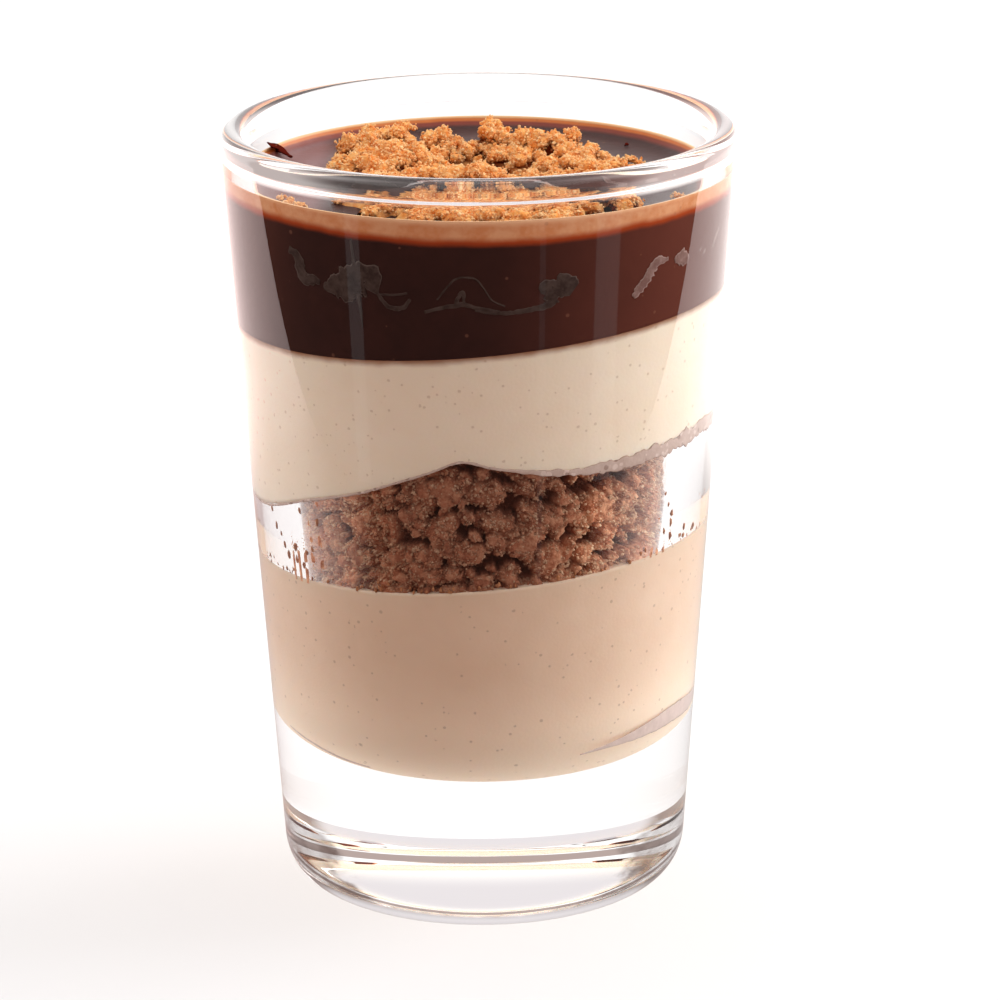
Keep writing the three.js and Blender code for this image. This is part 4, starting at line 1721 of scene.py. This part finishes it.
@dataclass(frozen=True)
class Studio:
    """A pale floor on a white sheet, soft white light behind and above, a dim warm front.

    Matt light, gloss ("shown") and what is seen through glass each have a sky of
    their own. Angles are from the front, positive to the right. A strip of the sky
    is its angle, half width, both in degrees, and strength.
    """

    floor_radius: float = 4.0
    floor_gap: float = 0.03 * MM
    floor_colour: Colour = (0.84, 0.85, 0.875, 1.0)
    back: float = 1.55
    front: float = 0.10
    over: float = 1.25
    over_span: tuple[float, float] = (0.35, 0.7)
    turn_cosine: float = 0.5
    warm: Colour = (1.0, 0.74, 0.6, 1.0)
    white: Colour = (1.0, 0.985, 0.98, 1.0)
    matt_front: Colour = (0.28, 0.172, 0.135, 1.0)
    matt_side: Colour = (1.36, 1.33, 1.31, 1.0)
    matt_left: float = -80
    matt_right: float = 48
    matt_soft: float = 12
    through_back: Colour = (0.87, 0.82, 0.835, 1.0)
    through_front: Colour = (0.34, 0.26, 0.235, 1.0)
    through_cosine: tuple[float, float] = (0.66, 0.8)
    strips: tuple[tuple[float, float, float], ...] = ((-60.0, 4.0, 0.45), (61.0, 7.0, 0.5), (29.0, 1.6, 0.25))
    sheet_fade: tuple[float, float] = (-60 * MM, 15 * MM)
    sheet_away: tuple[float, float, float] = (125 * MM, 205 * MM, 0.3)
    sheet_level: float = -0.2 * MM
    sheet_left: Colour = (2.0, 1.62, 1.57, 1.0)
    sheet_right: Colour = (2.1, 1.95, 1.9, 1.0)
    sheet_front: float = 95 * MM
    sheet_near: float = 105 * MM
    sheet_flare: float = 0.78
    sheet_depth: float = 900 * MM
    lamp_place: tuple[float, float, float] = (0.75, 0.3, 0.45)
    lamp_aim: tuple[float, float, float] = (0, 0, 45 * MM)
    lamp_size: float = 0.5
    lamp_power: float = 3.0

    def floor(self) -> None:
        """Makes the floor: a flat disc, a hair under the base so that the two don't share a plane.

        Gloss on the glass and matt light don't see it.
        """
        turn = np.arange(96)
        ring = polar(self.floor_radius, full_turn(turn.size), 0)
        points = np.concatenate([[[0, 0, 0]], ring]) - (0, 0, self.floor_gap)
        triangles = np.stack([0 * turn, 1 + turn, 1 + (turn + 1) % turn.size], -1)
        piece = new_object("floor", points, triangles, smooth=False)
        material, graph = new_material("pale_floor")
        inputs = {"Base Color": self.floor_colour, "Roughness": 0.9, "Specular IOR Level": 0.1}
        graph.end(graph.add("ShaderNodeBsdfPrincipled", inputs))
        piece.data.materials.append(material)
        piece.visible_glossy = False
        piece.visible_diffuse = False
        piece.visible_shadow = False

    def sheet(self) -> None:
        """Makes the white sheet that gloss sees on the floor: a flared outline, open to the back."""
        near, front, far, low = self.sheet_near, -self.sheet_front, self.sheet_depth, self.sheet_level
        wide = near + self.sheet_flare * (far - front)
        points = np.array([(-near, front, low), (near, front, low), (wide, far, low), (-wide, far, low)])
        piece = new_object("white_sheet", points, np.array([(0, 1, 2), (0, 2, 3)]), smooth=False)
        material, graph = new_material("white_sheet")
        _, x, y, _ = graph.place()
        away = graph.math("SQRT", graph.plus(graph.times(x, x), graph.times(y, y)))
        start, stop, least = self.sheet_away
        near_light = graph.span(away, start, stop, least, 1.0)
        strength = graph.times(graph.span(y, *self.sheet_fade, 0.06, 1.0), near_light)
        colour = graph.mix(graph.span(x, -50 * MM, 50 * MM), self.sheet_left, self.sheet_right)
        graph.end(graph.add("ShaderNodeEmission", {"Color": colour, "Strength": strength}))
        piece.data.materials.append(material)
        piece.visible_camera = False
        piece.visible_diffuse = False
        piece.visible_transmission = False
        piece.visible_shadow = False

    def sky(self) -> None:
        """Lights the scene from all round: bright behind and above, dim and warm in front.

        Matt things get a softer, wider version of it than gloss shows, and what is
        seen through glass a dimmer one.
        """
        world = bpy.data.worlds.new("studio")
        bpy.context.scene.world = world
        world.use_nodes = True
        graph = Graph(world.node_tree)
        way = graph.add("ShaderNodeTexCoord").outputs["Generated"]
        x, y, z = graph.add("ShaderNodeSeparateXYZ", {0: way}).outputs
        flat = graph.math("SQRT", graph.plus(graph.times(x, x), graph.times(y, y)))
        facing = graph.math("DIVIDE", y, graph.math("MAXIMUM", flat, 0.001))
        overhead = graph.span(z, *self.over_span)
        behind = graph.span(facing, self.turn_cosine - 0.05, self.turn_cosine + 0.05)
        light = graph.math("MAXIMUM", graph.times(behind, self.back), graph.times(overhead, self.over))
        turn = graph.math("ARCTAN2", x, graph.times(y, -1.0))
        for degrees, width, strength in self.strips:
            away = graph.math("ABSOLUTE", graph.minus(turn, math.radians(degrees)))
            strip = graph.span(away, math.radians(width * 0.8), math.radians(width), strength, 0.0)
            light = graph.math("MAXIMUM", light, strip)
        tint = graph.mix(graph.span(light, 0.0, 0.3), self.warm, self.white)

        left, right = math.radians(self.matt_left), math.radians(self.matt_right)
        soft = math.radians(self.matt_soft)
        to_left = graph.span(turn, left - soft, left + soft, 1.0, 0.0)
        to_right = graph.span(turn, right - soft, right + soft)
        roof = (self.over, 0.965 * self.over, 0.93 * self.over, 1)
        matt = graph.mix(graph.math("MAXIMUM", to_left, to_right), self.matt_front, self.matt_side)
        through = graph.mix(graph.span(facing, *self.through_cosine), self.through_front, self.through_back)
        skies = (
            (graph.mix(overhead, matt, roof), 1.0),
            (tint, graph.math("MAXIMUM", light, self.front)),
            (graph.mix(overhead, through, roof), 1.0),
        )
        lit, shown, sent = (
            graph.add("ShaderNodeBackground", {"Color": colour, "Strength": strength})
            for colour, strength in skies
        )
        path = graph.add("ShaderNodeLightPath").outputs
        both = graph.blend(path["Is Glossy Ray"], lit, shown)
        graph.end(graph.blend(path["Is Transmission Ray"], both, sent), "ShaderNodeOutputWorld")

    def lamp(self) -> None:
        """Adds a square soft lamp at the right, aimed at the middle of the glass."""
        data = bpy.data.lights.new("right_lamp", "AREA")
        data.shape = "SQUARE"
        data.size = self.lamp_size
        data.energy = self.lamp_power
        light = bpy.data.objects.new("right_lamp", data)
        light.location = self.lamp_place
        light.rotation_mode = "QUATERNION"
        aim = Vector(self.lamp_aim) - Vector(self.lamp_place)
        light.rotation_quaternion = aim.to_track_quat("-Z", "Y")
        bpy.context.collection.objects.link(light)

    def build(self) -> None:
        """Makes the floor, the sheet, the light all round and the lamp."""
        self.floor()
        self.sheet()
        self.sky()
        self.lamp()
        bpy.context.scene.view_settings.view_transform = "Standard"
        bpy.context.scene.view_settings.look = "None"


# ------------------------------------------------------------------------- main


PLACED_CLUMPS = (
    (-13.6, 4.5, 4.1, 1.7), (-11.2, 5.6, 4.5, 1.9), (-9.0, 6.6, 4.2, 1.4), (-7.8, 7.8, 4.6, 0.8),
    (-12.8, 1.6, 3.2, 1.7), (-9.9, 2.6, 3.5, 1.8), (-14.9, 1.6, 2.0, 1.2), (-7.2, 3.8, 3.1, 1.5),
    (-11.6, -1.0, 2.7, 1.6), (-8.4, 0.2, 2.7, 1.6), (-5.4, 1.4, 2.3, 1.4), (-4.7, 7.2, 3.8, 1.5),
    (-3.3, 5.2, 3.0, 1.6), (-1.0, 5.8, 2.5, 1.3), (1.4, 7.3, 4.1, 1.4), (1.3, 8.0, 4.7, 0.75),
    (3.2, 5.8, 3.6, 1.7), (5.6, 5.4, 4.0, 1.7), (7.8, 4.8, 4.0, 1.6), (10.2, 5.2, 4.2, 0.8),
    (9.8, 3.3, 3.3, 1.7), (12.2, 2.7, 2.8, 1.6), (14.3, 1.6, 1.9, 1.3), (16.4, 1.6, 0.9, 0.7),
    (5.0, 2.2, 2.6, 1.5), (7.6, 0.8, 2.2, 1.4), (2.4, 3.6, 2.5, 1.4), (10.8, 0.0, 2.4, 1.5),
    (13.4, -0.8, 1.8, 1.3), (-14.3, -3.6, 1.5, 1.2), (-19.4, -12.4, 0.9, 0.55), (-18.3, -13.7, 0.8, 0.45),
    (-20.3, -10.6, 0.7, 0.35), (20.5, -11.0, 0.7, 0.4), (16.9, 5.8, 0.8, 0.45), (17.7, 4.3, 0.7, 0.4),
)

# The bearings and heights from here down to the specks come from places picked by
# eye, which a program that isn't part of this script turned into them. Some were
# changed afterwards.

AIR_SMEARS: tuple[Stroke, ...] = (
    ((-140.6, 75.8, 0.35), (-138.0, 75.3, 0.55), (-137.1, 73.9, 0.65),
     (-135.7, 72.8, 0.65), (-133.0, 73.0, 0.5), (-131.2, 72.8, 0.25)),
    ((-130.1, 72.3, 0.2), (-127.0, 72.7, 1.2), (-123.6, 73.0, 1.8),
     (-120.5, 73.8, 1.75), (-117.5, 74.0, 1.7), (-115.0, 72.5, 0.2)),
    ((-115.4, 72.8, 0.15), (-113.7, 71.7, 0.22), (-112.0, 71.1, 0.25),
     (-108.9, 71.1, 0.25), (-106.8, 72.1, 0.15)),
    ((-114.9, 72.4, 0.1), (-110.5, 72.5, 0.12), (-107.5, 72.8, 0.1)),
    ((-103.3, 70.8, 0.15), (-99.6, 71.3, 0.2), (-96.0, 71.6, 0.25), (-94.0, 71.8, 0.25),
     (-91.9, 71.5, 0.2), (-88.8, 71.2, 0.2), (-85.2, 70.9, 0.15)),
    ((-100.2, 72.2, 0.08), (-97.8, 73.6, 0.1), (-95.3, 74.6, 0.1), (-91.3, 74.6, 0.1),
     (-89.2, 73.6, 0.08), (-87.1, 72.2, 0.08), (-84.0, 71.5, 0.08)),
    ((-95.7, 71.6, 0.2), (-95.2, 72.5, 0.2), (-94.0, 73.1, 0.2), (-93.8, 71.9, 0.1)),
    ((-91.2, 71.1, 0.12), (-86.4, 70.8, 0.2), (-81.6, 70.8, 0.25),
     (-76.8, 71.1, 0.3), (-73.6, 71.4, 0.4), (-71.6, 72.1, 0.5)),
    ((-75.6, 72.9, 0.3), (-74.2, 73.2, 1.0), (-72.7, 73.0, 1.1),
     (-71.3, 73.2, 1.1), (-69.3, 73.4, 1.3), (-67.2, 72.8, 0.9)),
    ((-121.2, 78.2, 0.12), (-120.6, 73.5, 0.22), (-119.9, 70.5, 0.14), (-119.6, 68.6, 0.04)),
)

LIGHT_SMEARS: tuple[Stroke, ...] = (
    ((-50.4, 71.0, 0.3), (-48.4, 71.9, 0.55), (-46.1, 72.9, 0.6), (-43.8, 74.3, 0.55), (-39.6, 74.4, 0.2)),
    ((-37.0, 73.9, 0.25), (-35.5, 74.1, 0.75), (-33.6, 73.9, 0.85), (-31.6, 73.6, 0.5)),
    ((-19.3, 73.7, 0.1), (-17.3, 74.8, 0.2), (-15.6, 75.5, 0.1)),
    ((-24.3, 73.5, 0.1), (-23.8, 73.8, 0.15), (-23.5, 74.0, 0.1)),
    ((-26.4, 74.0, 0.1), (-26.0, 74.2, 0.12), (-25.8, 74.4, 0.08)),
)

COFFEE_WEDGE: tuple[Stroke, ...] = (
    ((-58.0, 19.2, 0.05), (-50.0, 19.45, 0.2), (-38.3, 19.75, 0.5), (-26.0, 20.05, 0.85),
     (-12.0, 20.2, 1.0), (3.7, 19.8, 0.9), (16.0, 20.2, 0.4)),
    ((-170.0, 18.6, 0.05), (-156.8, 18.2, 0.1), (-141.7, 17.7, 0.1), (-129.1, 17.45, 0.05)),
)

GLASS_SPECKS = (
    (-163.5, 44.6), (-159.3, 42.2), (-157.7, 41.0), (-162.0, 42.9), (-152.1, 41.4), (-156.0, 40.0),
    (-147.0, 41.2), (-151.9, 39.8), (-148.7, 39.5), (-140.7, 45.1), (-148.1, 45.9), (-144.1, 41.8),
    (-31.8, 47.4), (-29.9, 46.0), (-27.9, 44.9), (-27.9, 43.8), (-31.0, 43.0), (-27.8, 42.3),
    (-13.7, 41.9), (-20.1, 42.4), (-20.2, 41.5),
)

SCRAPS = (
    ((-20.6, 8.0, 80.0, 0.15), (-22.2, 10.6, 80.4, 0.7), (-22.6, 9.2, 81.0, 0.75), (-22.7, 7.2, 81.3, 0.1)),
    ((16.3, 14.2, 79.6, 0.08), (16.5, 14.4, 79.7, 0.2), (16.7, 14.5, 79.6, 0.08)),
)


def finish_piece(piece: bpy.types.Object, slot: str) -> None:
    """Makes a piece ride on the body, and reports it with its slot.

    Args:
        piece: The piece.
        slot: The record's material slot.
    """
    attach(piece, BODY)
    log.info("%s: %d faces, slot %s", piece.name, len(piece.data.polygons), slot)


def make_creams(glass: Glass, levels: Levels) -> None:
    """Makes the coffee cream, the ivory cream and the chocolate. Args: glass, levels."""
    coffee = CreamFinish(
        "coffee_cream", rgb(236, 208, 184), rgb(230, 200, 175), rgb(120, 80, 60), 0.22, 0.10, 0.02,
        0.0, (31 * MM, 17 * MM, 1.0), rgb(255, 233, 210),
    )
    stain = (levels.chocolate_bottom - 0.9 * MM, levels.chocolate_bottom + 0.05 * MM, 0.95)
    ivory = CreamFinish(
        "ivory_cream", rgb(252, 235, 215), rgb(248, 229, 207), rgb(170, 130, 95), 0.3, 0.12, 0.012,
        levels.chocolate_slant, stain, rgb(150, 96, 68),
    )
    finish_piece(Layer("coffee_cream", glass, None, levels.coffee).build(coffee.build()), "coffee_cream")
    layer = Layer("ivory_cream", glass, levels.crumbs, levels.chocolate_floor)
    finish_piece(layer.build(ivory.build()), "ivory_cream")
    finish = ChocolateFinish(levels.chocolate_top, levels.meniscus_climb)
    top = ChocolateTop(glass, levels)
    layer = Layer("chocolate", glass, levels.chocolate_floor, top, reach=0.04 * MM, rings=60)
    finish_piece(layer.build(*(finish.build(face) for face in ChocolateFace)), "chocolate")


def make_crumbs(glass: Glass, levels: Levels) -> None:
    """Makes the crumb layer and the specks on the glass. Args: glass, levels."""
    # The fourth colour of each finish is the painted shade of pits and gaps; 0.68 sets how much of it is
    # painted in the middle, as shade and damp.
    core = CrumbFinish(
        "crumb_core", rgb(205, 129, 95), rgb(254, 193, 153), rgb(144, 88, 64), rgb(124, 76, 60), 0.0, 0.68
    )
    loose = CrumbFinish(
        "crumb_grain", rgb(228, 154, 114), rgb(255, 224, 188), rgb(160, 100, 74), rgb(126, 78, 62), 0.0, 0.68
    )
    for piece in CrumbLayer(glass, levels).build(core, loose):
        finish_piece(piece, "crumb_layer")
    speck = CrumbFinish(
        "crumb_speck", rgb(142, 84, 58), rgb(196, 136, 98), rgb(96, 54, 36), rgb(60, 34, 26), 0.0
    )
    finish_piece(GlassSpecks(glass, levels, GLASS_SPECKS).build(speck), "crumb_layer")


def make_marks(glass: Glass, levels: Levels) -> None:
    """Makes the films between the fillings and the glass. Args: glass, levels."""
    films = (
        (
            WallMarks(glass, "wet_edge", [wet_edge(levels, glass)], steps=2, ragged=0.75, tear=0.55 * MM),
            FilmFinish("wet_edge", rgb(202, 180, 170), rgb(176, 148, 134), bubbles=0.4),
            "ivory_cream",
        ),
        (
            WallMarks(glass, "coffee_wedge", COFFEE_WEDGE, ragged=0.15),
            FilmFinish("coffee_wedge", rgb(216, 196, 188), rgb(190, 170, 162), side_start=0.9, bubbles=0.06),
            "coffee_cream",
        ),
        (
            WallMarks(glass, "air_smears", AIR_SMEARS, middle=0.08 * MM, ragged=0.42, tear=0.3 * MM),
            FilmFinish("air_smear", rgb(57, 43, 40), rgb(98, 82, 76), side_start=0.86),
            "chocolate",
        ),
        (
            WallMarks(glass, "light_smears", LIGHT_SMEARS, middle=0.08 * MM, ragged=0.6, tear=0.25 * MM),
            FilmFinish("light_smear", rgb(118, 88, 82), rgb(178, 150, 142), side_start=0.72),
            "chocolate",
        ),
    )
    for marks, finish, slot in films:
        finish_piece(marks.build(finish), slot)


def make_topping(levels: Levels) -> None:
    """Makes the two scraps of chocolate and the heap of crumbs. Args: levels."""
    scrap = FilmFinish("chocolate_scrap", rgb(92, 26, 18), rgb(60, 16, 12))
    finish_piece(ChocolateScraps(SCRAPS).build(scrap), "chocolate")
    # The pit colours are painted shade for the crevices of the heap.
    golden, core_crevice_shade, pit = rgb(255, 186, 108), rgb(106, 38, 11), rgb(132, 54, 17)
    finishes = (
        CrumbFinish("topping_core", rgb(250, 168, 88), rgb(255, 208, 140), rgb(226, 132, 62), core_crevice_shade),
        CrumbFinish("topping_grain", golden, rgb(255, 224, 172), rgb(244, 158, 84), pit, sugar=0.05),
        CrumbFinish("topping_bit", golden, rgb(255, 228, 180), rgb(242, 154, 80), pit, sugar=0.05),
    )
    for piece in CrumbHeap(levels.chocolate_top, PLACED_CLUMPS).build(finishes):
        finish_piece(piece, "crumb_topping")


def main() -> None:
    """Builds the verrine, its stage and its camera, and reports each piece."""
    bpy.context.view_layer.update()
    Viewpoint().build()
    Studio().build()

    _, glass_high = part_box("glass")
    glass = Glass(height=glass_high.z, rim_radius=glass_high.x)
    levels = Levels()
    finish_piece(glass.build(GlassFinish()), "glass")
    make_creams(glass, levels)
    make_crumbs(glass, levels)
    make_marks(glass, levels)
    make_topping(levels)


if __name__ == "__main__":
    main()
